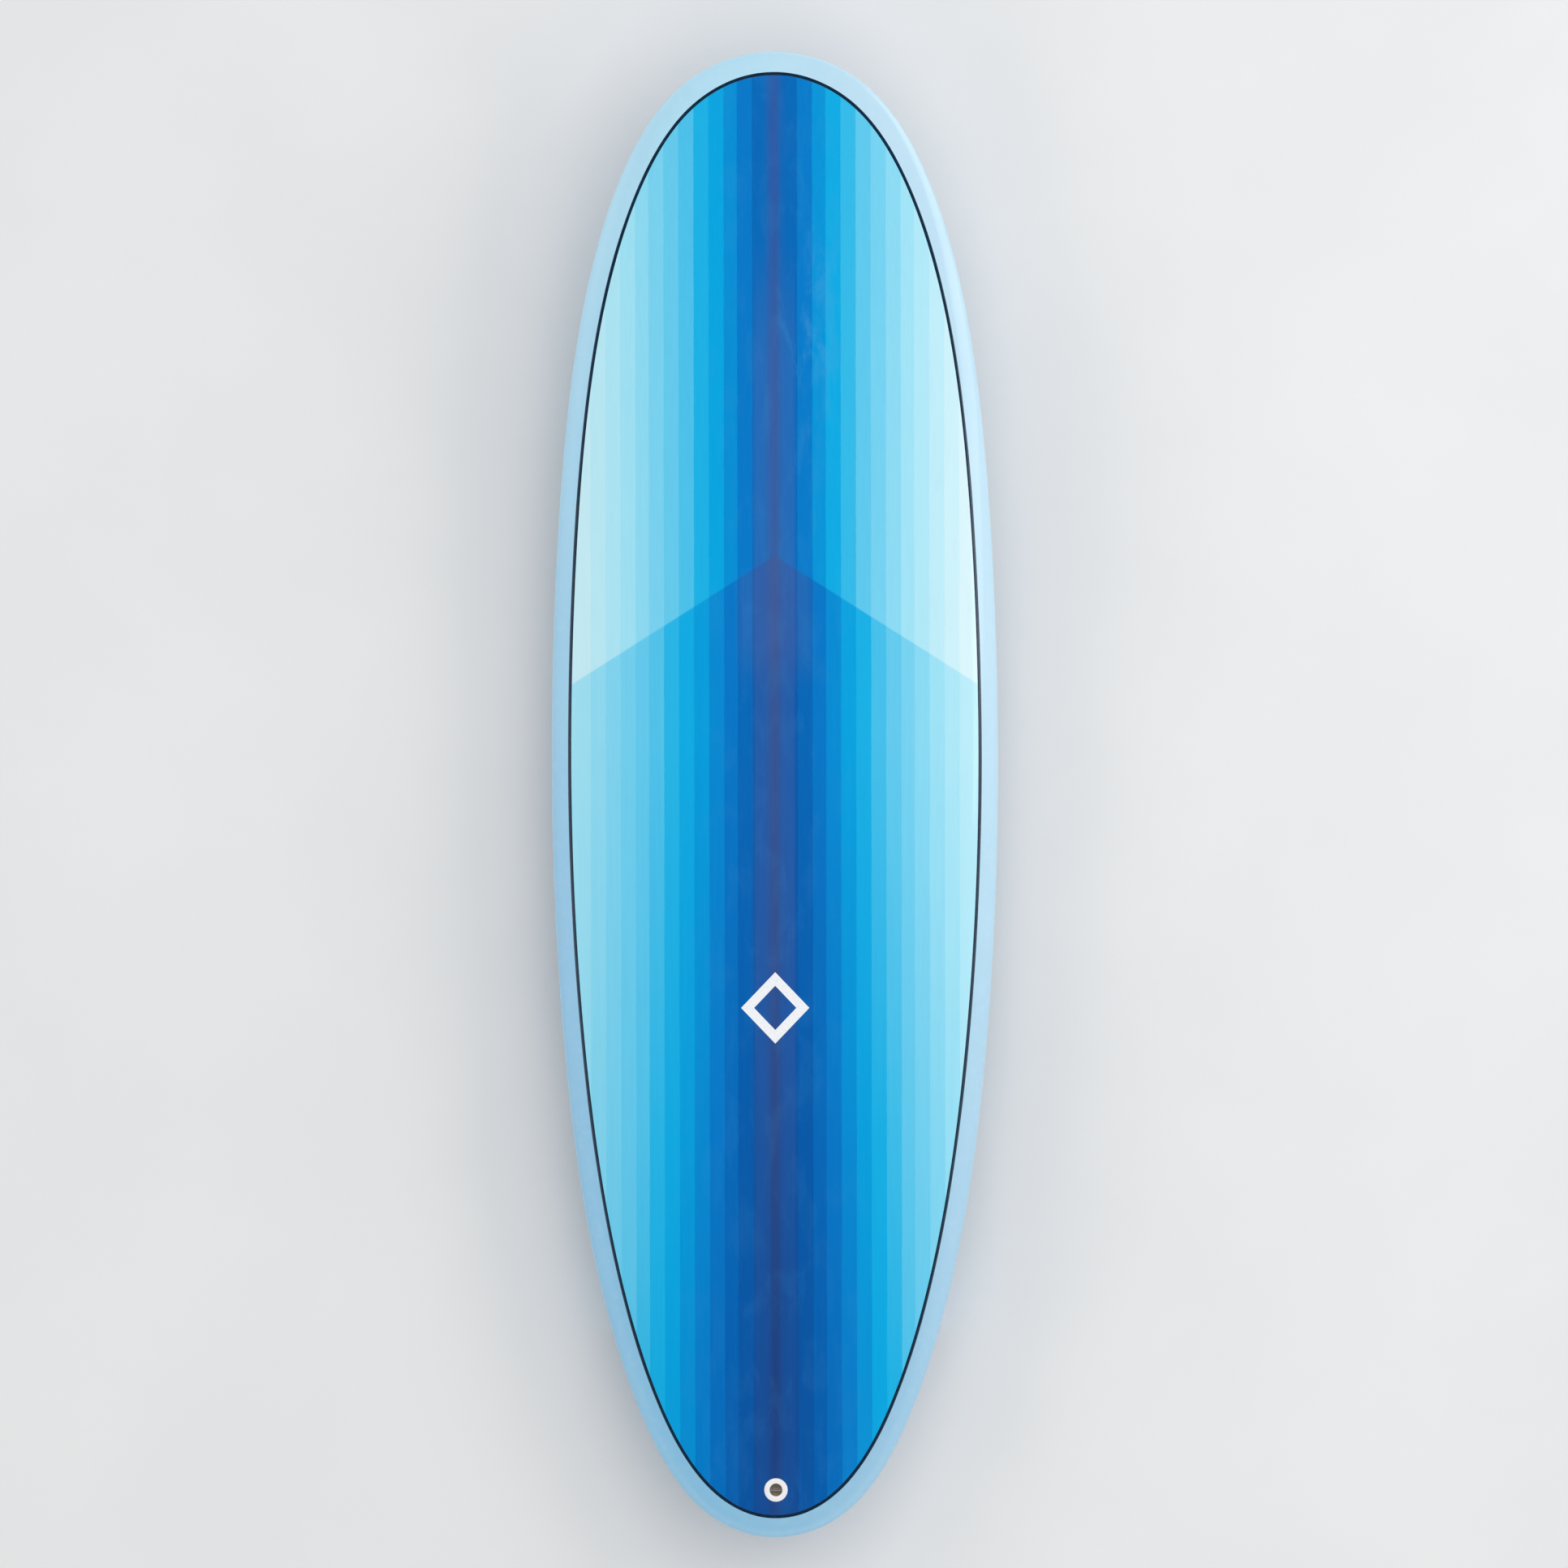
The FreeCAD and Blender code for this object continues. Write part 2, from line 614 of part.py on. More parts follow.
placed = {}
box_tools = []
y_side = -HALF_L + SIDE_FIN_TE + FIN_BASE / 2.0
th_side = math.acos(y_side / HALF_L)
x_side = half_width(th_side) - SIDE_FIN_RAIL - 0.5 * FIN_THICK
y_cen = -HALF_L + CENTER_FIN_TE + FIN_BASE / 2.0
for name, side, x0, y0 in (("left", -1, -x_side, y_side), ("right", 1, x_side, y_side), ("center", 0, 0.0, y_cen)):
    pl = fin_frame(x0, y0, side)
    inboard = -side if side else 1
    env_b = box_env(-12.0, BOX_DEPTH)
    body = box_env(-12.0, BOX_DEPTH)
    for yc in (TAB_Y, -TAB_Y):
        body = body.cut(slot(yc)).cut(screw_bore(yc, inboard))
    env_b.Placement = pl
    body.Placement = pl
    box_tools.append((name, env_b))
    keep("fin_box_" + name, body.common(outer))
    f = fin_solid(side)
    f.Placement = pl
    keep("fin_" + name, f)
    for tag, yc in (("front", TAB_Y), ("rear", -TAB_Y)):
        s = screw_solid(yc, inboard)
        s.Placement = pl.multiply(s.Placement)
        keep("grub_%s_%s" % (name, tag), s)
    ez = pl.Rotation.multVec(V(0, 0, 1))
    ex = pl.Rotation.multVec(V(1, 0, 0))
    print("FRAME", name, [round(v, 4) for v in pl.Base], "ez", [round(v, 6) for v in ez])
    for tag, yc in (("front", TAB_Y), ("rear", -TAB_Y)):
        tip, d = screw_axis(yc, inboard)
        gp, gd = pl.multVec(tip), pl.Rotation.multVec(d)
        print("SCREW", name, tag, [round(v, 4) for v in gp], [round(v, 6) for v in gd])

for nm, tool in box_tools:
    bottom = bottom.cut(tool)
    if nm != "center":
        rail = rail.cut(tool)
    if nm in ("left", "center"):
        foam_l = foam_l.cut(tool)
    if nm in ("right", "center"):
        foam_r = foam_r.cut(tool)
    if nm == "center":
        string = string.cut(tool)

# ---------------------------------------------------------------- generic mark let into the deck
def decal_prism():
    cy, hy, hx = -262.0, 44.0, 42.0
    ring = []
    pts = [V(0, cy + hy, 0), V(hx, cy, 0), V(0, cy - hy, 0), V(-hx, cy, 0)]
    f1 = Part.Face(Part.makePolygon(pts + [pts[0]]))
    k = 0.62
    pin_ = [V(p.x * k, cy + (p.y - cy) * k, 0) for p in pts]
    f2 = Part.Face(Part.makePolygon(pin_ + [pin_[0]]))
    return f1.cut(f2)


lowered = outer.copy()
lowered.translate(V(0, 0, -DECAL_T))
dface = decal_prism()
dface.translate(V(0, 0, 40.0))
pocket = dface.extrude(V(0, 0, 100.0)).cut(lowered)      # everything above the pocket's floor
decal = deck_inlay.common(pocket)

deck_inlay = deck_inlay.cut(pocket)
deck_inlay = deck_inlay.cut(env)
string = string.cut(env)
foam_l = foam_l.cut(env)
foam_r = foam_r.cut(env)
keep("deck_decal", decal)
keep("deck_fabric_inlay", deck_inlay)
keep("pinline", pin_ring)
keep("rail_band", rail)
keep("bottom_laminate", bottom)
keep("foam_core_left", foam_l)
keep("foam_core_right", foam_r)
keep("stringer", string)
keep("leash_plug_cup", cup)
keep("leash_plug_pin", pin)
print("PLUG", round(z_plug, 4), "slope", round(slope, 6))

for name, shape in PARTS.items():
    shape.exportStep("parts/%s.step" % name)
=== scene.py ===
import bpy, bmesh, math
import numpy as np
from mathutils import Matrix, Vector
from mathutils.geometry import delaunay_2d_cdt

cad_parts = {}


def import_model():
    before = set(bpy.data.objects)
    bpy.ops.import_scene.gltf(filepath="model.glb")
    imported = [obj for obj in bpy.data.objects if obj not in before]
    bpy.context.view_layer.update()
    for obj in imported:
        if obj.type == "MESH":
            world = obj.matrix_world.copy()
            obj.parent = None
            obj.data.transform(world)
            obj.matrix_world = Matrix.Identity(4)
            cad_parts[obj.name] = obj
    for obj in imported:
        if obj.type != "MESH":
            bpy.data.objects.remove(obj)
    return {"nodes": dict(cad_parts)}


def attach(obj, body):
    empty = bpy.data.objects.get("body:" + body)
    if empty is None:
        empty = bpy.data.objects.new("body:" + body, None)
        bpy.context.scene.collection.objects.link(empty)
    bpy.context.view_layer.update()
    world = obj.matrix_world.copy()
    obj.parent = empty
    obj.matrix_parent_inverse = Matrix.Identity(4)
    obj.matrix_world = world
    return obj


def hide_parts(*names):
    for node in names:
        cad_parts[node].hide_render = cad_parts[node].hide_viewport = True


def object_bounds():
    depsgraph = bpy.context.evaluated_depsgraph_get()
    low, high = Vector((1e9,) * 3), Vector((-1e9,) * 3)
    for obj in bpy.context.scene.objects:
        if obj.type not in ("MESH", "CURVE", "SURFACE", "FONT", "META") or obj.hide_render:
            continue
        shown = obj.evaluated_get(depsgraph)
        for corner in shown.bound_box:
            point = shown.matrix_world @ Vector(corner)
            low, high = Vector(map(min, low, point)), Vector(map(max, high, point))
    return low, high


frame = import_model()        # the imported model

CAD_BOX = [[float(c) for c in p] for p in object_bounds()]
MM = 0.001

# ------------------------------------------------------------------ the hull as functions (millimetres)
L = 914.6
A = (290.553, 9.975, 18.148, 2.473, 3.495, -0.233, 1.543, -0.099, 0.69)
SKIN = 1.2
THICK = 67.0
PIN_W = 4.0
LAP = 48.0


def W(th):
    th = np.asarray(th, float)
    return sum(a * np.sin((k + 1) * th) for k, a in enumerate(A))


def dW(th):
    th = np.asarray(th, float)
    return sum((k + 1) * a * np.cos((k + 1) * th) for k, a in enumerate(A))


def rocker(y):
    u = y / L
    return 67.6 * u ** 2 + 56.6 * u ** 3 + 14.9 * u ** 4 - 21.1 * u ** 5


def thick(y):
    u = y / L
    return THICK - 50.5 * u ** 2 - 3.5 * u ** 3


def apex_part(y):
    return 0.33 + 0.08 * y / L


def z_apex(y):
    return rocker(y) + apex_part(y) * thick(y)


def F(x, y, deck):
    """height of the deck or the bottom above a plan point"""
    x, y = np.asarray(x, float), np.asarray(y, float)
    c = np.clip(y / L, -1.0, 1.0)
    th = np.arccos(c)
    w = np.maximum(W(th), 1e-9)
    s = np.clip(np.abs(x) / w, 0.0, 1.0)
    r = np.sqrt(np.maximum(0.0, 1.0 - np.abs(c) ** 40))
    t, a = thick(y), apex_part(y)
    if deck:
        p = 0.70 * s ** 2 + 0.30 * s ** 4
        return z_apex(y) + (1.0 - a) * t * r * np.sqrt(np.maximum(0.0, 1.0 - p))
    g = 0.5 * (1.0 + np.tanh(2.2 * y / L))
    ma, mb = 0.05 + 0.26 * g * g, 0.07 + 0.60 * g
    p = ma * s ** 2 + mb * s ** 6 + (1.0 - ma - mb) * s ** 20
    return z_apex(y) - a * t * r * np.sqrt(np.maximum(0.0, 1.0 - p))


def F_normal(x, y, deck, h=0.4):
    fx = (F(x + h, y, deck) - F(x - h, y, deck)) / (2 * h)
    fy = (F(x, y + h, deck) - F(x, y - h, deck)) / (2 * h)
    n = np.stack([-fx, -fy, np.ones_like(fx)], -1)
    n /= np.linalg.norm(n, axis=-1, keepdims=True)
    return n if deck else -n


PIN_TABLE = np.array([(0, 26.5), (3, 26.6), (6, 27.2), (10, 28.1), (15, 28.5), (20, 28.2), (25, 27.7), (30, 27.2),
                      (35, 26.3), (40, 25.3), (50, 23.5), (60, 22.6), (70, 22.3), (80, 22.2), (90, 22.3), (100, 22.8),
                      (110, 23.9), (120, 25.0), (130, 25.5), (140, 25.2), (150, 25.7), (160, 27.2), (165, 27.3),
                      (170, 26.7), (175, 25.8), (180, 25.4)])


def pin_inset(th):
    d = np.degrees(np.asarray(th, float))
    tot, wt = 0.0, 0.0
    for k in range(-4, 5):
        q = np.abs(d + k * 2.0)
        q = np.where(q > 180.0, 360.0 - q, q)
        g = math.exp(-(k * 2.0) ** 2 / 32.0)
        tot = tot + g * np.interp(q, PIN_TABLE[:, 0], PIN_TABLE[:, 1])
        wt += g
    return tot / wt


def outline(t, dist=0.0):
    """closed plan curve, t from 0 to 2 pi, right side first; dist is inwards along the normal"""
    t = np.asarray(t, float)
    th = np.where(t <= math.pi, t, 2 * math.pi - t)
    sg = np.where(t <= math.pi, 1.0, -1.0)
    tx, ty = dW(th), -L * np.sin(th)
    m = np.hypot(tx, ty)
    x = W(th) + dist * ty / m
    y = L * np.cos(th) - dist * tx / m
    return sg * x, y, th


# ------------------------------------------------------------------ mesh helpers
def new_object(name, verts, faces, normals=None, mat=None):
    """verts in millimetres"""
    me = bpy.data.meshes.new(name)
    v = np.asarray(verts, float) * MM
    if isinstance(faces, np.ndarray):
        faces = faces.tolist()
    me.from_pydata(v.tolist(), [], faces)
    me.update()
    me.polygons.foreach_set("use_smooth", [True] * len(me.polygons))
    ob = bpy.data.objects.new(name, me)
    bpy.context.scene.collection.objects.link(ob)
    if normals is not None:
        me.normals_split_custom_set_from_vertices(np.asarray(normals, float).tolist())
    if mat:
        me.materials.append(mat)
    return ob


def inside(poly, px, py):
    poly = np.asarray(poly, float)
    res = np.zeros(len(px), bool)
    x0, y0 = poly[:, 0], poly[:, 1]
    x1, y1 = np.roll(x0, -1), np.roll(y0, -1)
    for a, b, c, d in zip(x0, y0, x1, y1):
        if b == d:
            continue
        hit = (b > py) != (d > py)
        if hit.any():
            res[hit] ^= px[hit] < (c - a) * (py[hit] - b) / (d - b) + a
    return res


def cut_sheet(outer_poly, holes, step):
    """triangles of a plan region between an outer curve and holes, with an inner lattice"""
    outer_poly = np.asarray(outer_poly, float)
    lo, hi = outer_poly.min(0), outer_poly.max(0)
    xs, ys = [], []
    j = 0
    y = lo[1] + step * 0.37
    while y < hi[1]:
        row = np.arange(lo[0] + (step * 0.5 if j % 2 else 0.0) + step * 0.21, hi[0], step)
        xs.append(row)
        ys.append(np.full(len(row), y))
        y += step * 0.866
        j += 1
    px, py = np.concatenate(xs), np.concatenate(ys)

    def near(poly, d):
        seg = np.asarray(poly, float)
        a, b = seg, np.roll(seg, -1, axis=0)
        ok = np.zeros(len(px), bool)
        for i in range(len(a)):
            ab = b[i] - a[i]
            ll = max(ab @ ab, 1e-12)
            x0, x1 = min(a[i][0], b[i][0]) - d, max(a[i][0], b[i][0]) + d
            y0, y1 = min(a[i][1], b[i][1]) - d, max(a[i][1], b[i][1]) + d
            c = np.nonzero((px > x0) & (px < x1) & (py > y0) & (py < y1))[0]
            if len(c):
                t = np.clip(((px[c] - a[i][0]) * ab[0] + (py[c] - a[i][1]) * ab[1]) / ll, 0, 1)
                dd = np.hypot(px[c] - a[i][0] - t * ab[0], py[c] - a[i][1] - t * ab[1])
                ok[c] |= dd < d
        return ok
    keep = inside(outer_poly, px, py) & ~near(outer_poly, 0.45 * step)
    for h in holes:
        keep &= ~inside(h, px, py) & ~near(h, 0.35 * step)
    px, py = px[keep], py[keep]
    pts, edges = [], []
    for poly in [outer_poly, *holes]:
        n0 = len(pts)
        pts += [(float(a), float(b)) for a, b in poly]
        n = len(poly)
        edges += [(n0 + i, n0 + (i + 1) % n) for i in range(n)]
    pts += list(zip(px.tolist(), py.tolist()))
    out = delaunay_2d_cdt([Vector(p) for p in pts], edges, [], 0, 1e-6, False)
    v = np.array([(p.x, p.y) for p in out[0]])
    f = np.array([list(q) for q in out[2]], int)
    c = v[f].mean(1)
    ok = inside(outer_poly, c[:, 0], c[:, 1])
    for h in holes:
        ok &= ~inside(h, c[:, 0], c[:, 1])
    f = f[ok]
    # counter-clockwise in plan
    a, b, c2 = v[f[:, 0]], v[f[:, 1]], v[f[:, 2]]
    area = (b[:, 0] - a[:, 0]) * (c2[:, 1] - a[:, 1]) - (b[:, 1] - a[:, 1]) * (c2[:, 0] - a[:, 0])
    f[area < 0] = f[area < 0][:, ::-1]
    used = np.unique(f)
    m = -np.ones(len(v), int)
    m[used] = np.arange(len(used))
    return v[used], m[f]


def skirted(plan, tris, deck, lift=0.0, depth=1.0):
    """lift a plan sheet on to the hull and turn its free edges inwards, so that no gap shows"""
    z = F(plan[:, 0], plan[:, 1], deck)
    nrm = F_normal(plan[:, 0], plan[:, 1], deck)
    top = np.column_stack([plan, z]) + nrm * lift
    f = tris if deck else tris[:, ::-1]
    e = np.concatenate([f[:, [0, 1]], f[:, [1, 2]], f[:, [2, 0]]])
    key = {tuple(q) for q in e.tolist()}
    free = [q for q in key if (q[1], q[0]) not in key]
    ring = sorted({i for q in free for i in q})
    n0 = len(top)
    idx = {i: n0 + 2 * k for k, i in enumerate(ring)}
    out_n = {}
    for a, b in free:          # outward direction of the edge in plan, for the skirt's normals
        d = top[b] - top[a]
        o = np.cross(d, nrm[a])
        o /= max(np.linalg.norm(o), 1e-9)
        for i in (a, b):
            out_n[i] = out_n.get(i, 0) + o
    ex, en = [], []
    for i in ring:
        o = out_n[i] / max(np.linalg.norm(out_n[i]), 1e-9)
        ex += [top[i], top[i] - nrm[i] * depth]
        en += [o, o]
    quads = [[b, a, idx[a] + 1, idx[b] + 1] for a, b in free]
    # the skirt uses doubled vertices so that its edge stays crisp
    quads = [[idx[b], idx[a], idx[a] + 1, idx[b] + 1] for a, b in free]
    verts = np.vstack([top, np.array(ex)])
    normals = np.vstack([nrm, np.array(en)])
    return verts, f.tolist() + quads, normals


# ------------------------------------------------------------------ fin frames, as in the CAD
TAB_Y, TAB_L, TAB_T, TAB_D = 36.0, 22.0, 6.3, 14.0
FIN_BASE, FIN_DEPTH, FIN_THICK, FIN_GAP = 115.0, 115.0, 6.5, 0.6
BOSS_R, BAR_W = 14.5, 13.0


def fin_frame(x0, y0, side):
    toe, cant = math.radians(2.2) * abs(side), math.radians(5.0) * side
    q = 40.0
    slope = float(F(x0, y0 + q, False) - F(x0, y0 - q, False)) / (2 * q)
    ey = np.array([-side * math.sin(toe), math.cos(toe), slope])
    ey /= np.linalg.norm(ey)
    down = np.array([math.sin(cant), 0.0, -math.cos(cant)])
    down -= ey * (down @ ey)
    down /= np.linalg.norm(down)
    ez = -down
    ex = np.cross(ey, ez)
    return np.array([x0, y0, float(F(x0, y0, False))]), ex, ey, ez


y_side = -L + 290.0 + FIN_BASE / 2
x_side = float(W(math.acos(y_side / L))) - 32.0 - 0.5 * FIN_THICK
y_cen = -L + 92.0 + FIN_BASE / 2
FRAMES = {"left": (fin_frame(-x_side, y_side, -1), -1), "right": (fin_frame(x_side, y_side, 1), 1),
          "center": (fin_frame(0.0, y_cen, 0), 0)}


def box_outline(fr, grow=0.04):
    o, ex, ey, ez = fr
    r, b = BOSS_R + grow, BAR_W / 2 + grow
    a0 = math.asin(b / r)
    pts = []
    for cy, s in ((TAB_Y, 1), (-TAB_Y, -1)):
        for k in range(49):
            ang = -math.pi / 2 + a0 + (2 * math.pi - 2 * a0) * k / 48
            pts.append((r * math.cos(ang) * s, cy + r * math.sin(ang) * s))
    res = []
    for lx, ly in pts:
        t = 0.0
        for _ in range(12):
            p = o + ex * lx + ey * ly + ez * t
            t += (float(F(p[0], p[1], False)) - p[2]) / ez[2]
        p = o + ex * lx + ey * ly + ez * t
        res.append((p[0], p[1]))
    return res


BOXES = {k: box_outline(v[0]) for k, v in FRAMES.items()}
PLUG_Y = -856.0
PLUG_R = 14.5


# ------------------------------------------------------------------ materials
def lin(h):
    v = [int(h[i:i + 2], 16) / 255.0 for i in (0, 2, 4)]
    return [(c / 12.92 if c <= 0.04045 else ((c + 0.055) / 1.055) ** 2.4) for c in v]


GAIN = 1.0


class Mat:
    def __init__(self, name):
        self.m = bpy.data.materials.new(name)
        self.m.use_nodes = True
        self.t = self.m.node_tree
        self.t.nodes.clear()
        self.out = self.t.nodes.new("ShaderNodeOutputMaterial")
        self.b = self.t.nodes.new("ShaderNodeBsdfPrincipled")
        self.link(self.b.outputs[0], self.out.inputs[0])
        self._co = None

    def link(self, a, b):
        self.t.links.new(a, b)

    def node(self, kind, **kw):
        n = self.t.nodes.new(kind)
        for k, v in kw.items():
            setattr(n, k, v)
        return n

    def set(self, **kw):
        names = {"rough": "Roughness", "metal": "Metallic", "ior": "IOR", "coat": "Coat Weight", "coat_rough": "Coat Roughness",
                 "coat_ior": "Coat IOR", "spec": "Specular IOR Level", "color": "Base Color", "aniso": "Anisotropic",
                 "sss": "Subsurface Weight", "sss_scale": "Subsurface Scale", "trans": "Transmission Weight", "coat_tint": "Coat Tint"}
        for k, v in kw.items():
            if k in ("color", "coat_tint"):
                v = (*v, 1.0)
            self.b.inputs[names[k]].default_value = v

    @property
    def co(self):
        if self._co is None:
            self._co = self.node("ShaderNodeTexCoord").outputs["Object"]
        return self._co

    def math(self, op, a, b=None, c=None, clamp=False):
        n = self.node("ShaderNodeMath", operation=op, use_clamp=clamp)
        for i, v in enumerate((a, b, c)):
            if v is None:
                continue
            if isinstance(v, (int, float)):
                n.inputs[i].default_value = v
            else:
                self.link(v, n.inputs[i])
        return n.outputs[0]

    def xyz(self, src=None):
        n = self.node("ShaderNodeSeparateXYZ")
        self.link(src or self.co, n.inputs[0])
        return n.outputs

    def mapped(self, scale=(1, 1, 1), loc=(0, 0, 0), rot=(0, 0, 0), src=None):
        n = self.node("ShaderNodeMapping")
        n.inputs["Scale"].default_value = scale
        n.inputs["Location"].default_value = loc
        n.inputs["Rotation"].default_value = rot
        self.link(src or self.co, n.inputs[0])
        return n.outputs[0]

    def noise(self, scale, detail=3.0, rough=0.5, src=None, distort=0.0):
        n = self.node("ShaderNodeTexNoise")
        n.inputs["Scale"].default_value = scale
        n.inputs["Detail"].default_value = detail
        n.inputs["Roughness"].default_value = rough
        n.inputs["Distortion"].default_value = distort
        self.link(src or self.co, n.inputs["Vector"])
        return n.outputs[0]

    def band(self, v, lo, hi, a=0.0, b=1.0, smooth=True):
        n = self.node("ShaderNodeMapRange", interpolation_type="SMOOTHSTEP" if smooth else "LINEAR")
        n.clamp = True
        for i, q in ((1, lo), (2, hi), (3, a), (4, b)):
            n.inputs[i].default_value = q
        self.link(v, n.inputs[0])
        return n.outputs[0]

    def mix(self, f, a, b, mode="MIX"):
        n = self.node("ShaderNodeMix", data_type="RGBA", blend_type=mode)
        ins = [i for i in n.inputs if i.type == "RGBA"]
        fac = n.inputs[0]
        if isinstance(f, (int, float)):
            fac.default_value = f
        else:
            self.link(f, fac)
        for s, v in zip(ins, (a, b)):
            if isinstance(v, (list, tuple)):
                s.default_value = (*v[:3], 1.0)
            else:
                self.link(v, s)
        return [o for o in n.outputs if o.type == "RGBA"][0]

    def ramp(self, f, stops, mode="LINEAR"):
        n = self.node("ShaderNodeValToRGB")
        cr = n.color_ramp
        cr.interpolation = mode
        while len(cr.elements) > 1:
            cr.elements.remove(cr.elements[-1])
        cr.elements[0].position = stops[0][0]
        cr.elements[0].color = (*stops[0][1], 1.0)
        for p, c in stops[1:]:
            e = cr.elements.new(p)
            e.color = (*c, 1.0)
        self.link(f, n.inputs[0])
        return n.outputs[0]

    def bump(self, h, dist=0.0001, strength=1.0, coat=False, prev=None):
        n = self.node("ShaderNodeBump")
        n.inputs["Distance"].default_value = dist
        n.inputs["Strength"].default_value = strength
        self.link(h, n.inputs["Height"])
        if prev is not None:
            self.link(prev, n.inputs["Normal"])
        self.link(n.outputs[0], self.b.inputs["Normal"])
        if coat:
            self.link(n.outputs[0], self.b.inputs["Coat Normal"])
        return n.outputs[0]

    def weave(self, pitch):
        """plain weave height, 0 to 1, of threads a pitch apart, in metres"""
        x, y, _ = self.xyz()
        k = math.pi / pitch
        sx = self.math("SINE", self.math("MULTIPLY", x, k))
        sy = self.math("SINE", self.math("MULTIPLY", y, k))
        return self.math("MULTIPLY_ADD", self.math("MULTIPLY", sx, sy), 0.5, 0.5)


def scaled(c, g=None):
    g = GAIN if g is None else g
    return [min(1.0, max(0.0, v * g)) for v in c]


# the cloth's colour run, from deep blue to pale aqua
RUN = [(-2.0, "104890"), (0.0, "0058a8"), (2.0, "0078c8"), (4.0, "00a6e2"), (5.0, "1cb2e6"), (6.0, "54c4ec"), (10.0, "a4e4f6"), (14.0, "d8f4fa")]
RUN_Q = [q for q, _ in RUN]
RUN_C = np.array([[int(h[i:i + 2], 16) / 255.0 for i in (0, 2, 4)] for _, h in RUN])


def run_colour(q):
    s = [float(np.interp(q, RUN_Q, RUN_C[:, i])) for i in range(3)]
    return [(c / 12.92 if c <= 0.04045 else ((c + 0.055) / 1.055) ** 2.4) for c in s]


# the middle three stripes share one shade, then each stripe outwards is one step paler
# zone: (first shade, step on the left, step on the right, bend of the left half)
ZONES = {"fore": (1.0, 0.97, 1.10, 1.0), "aft1": (-0.1, 1.05, 0.97, 0.9), "aft2": (-0.9, 1.05, 0.92, 0.9), "aft3": (-1.5, 1.05, 0.92, 0.9)}
PITCH = 18.16


def stripe_stops(kind):
    first, left, right, bend = ZONES[kind]
    stops = []
    for k in range(-13, 14):
        n = max(0, abs(k) - 1)
        q = first + (left * n ** bend if k < 0 else right * n)
        pos = 0.0 if k == -13 else (k + 14.0) / 29.0
        stops.append((pos, scaled(run_colour(q))))
    return stops


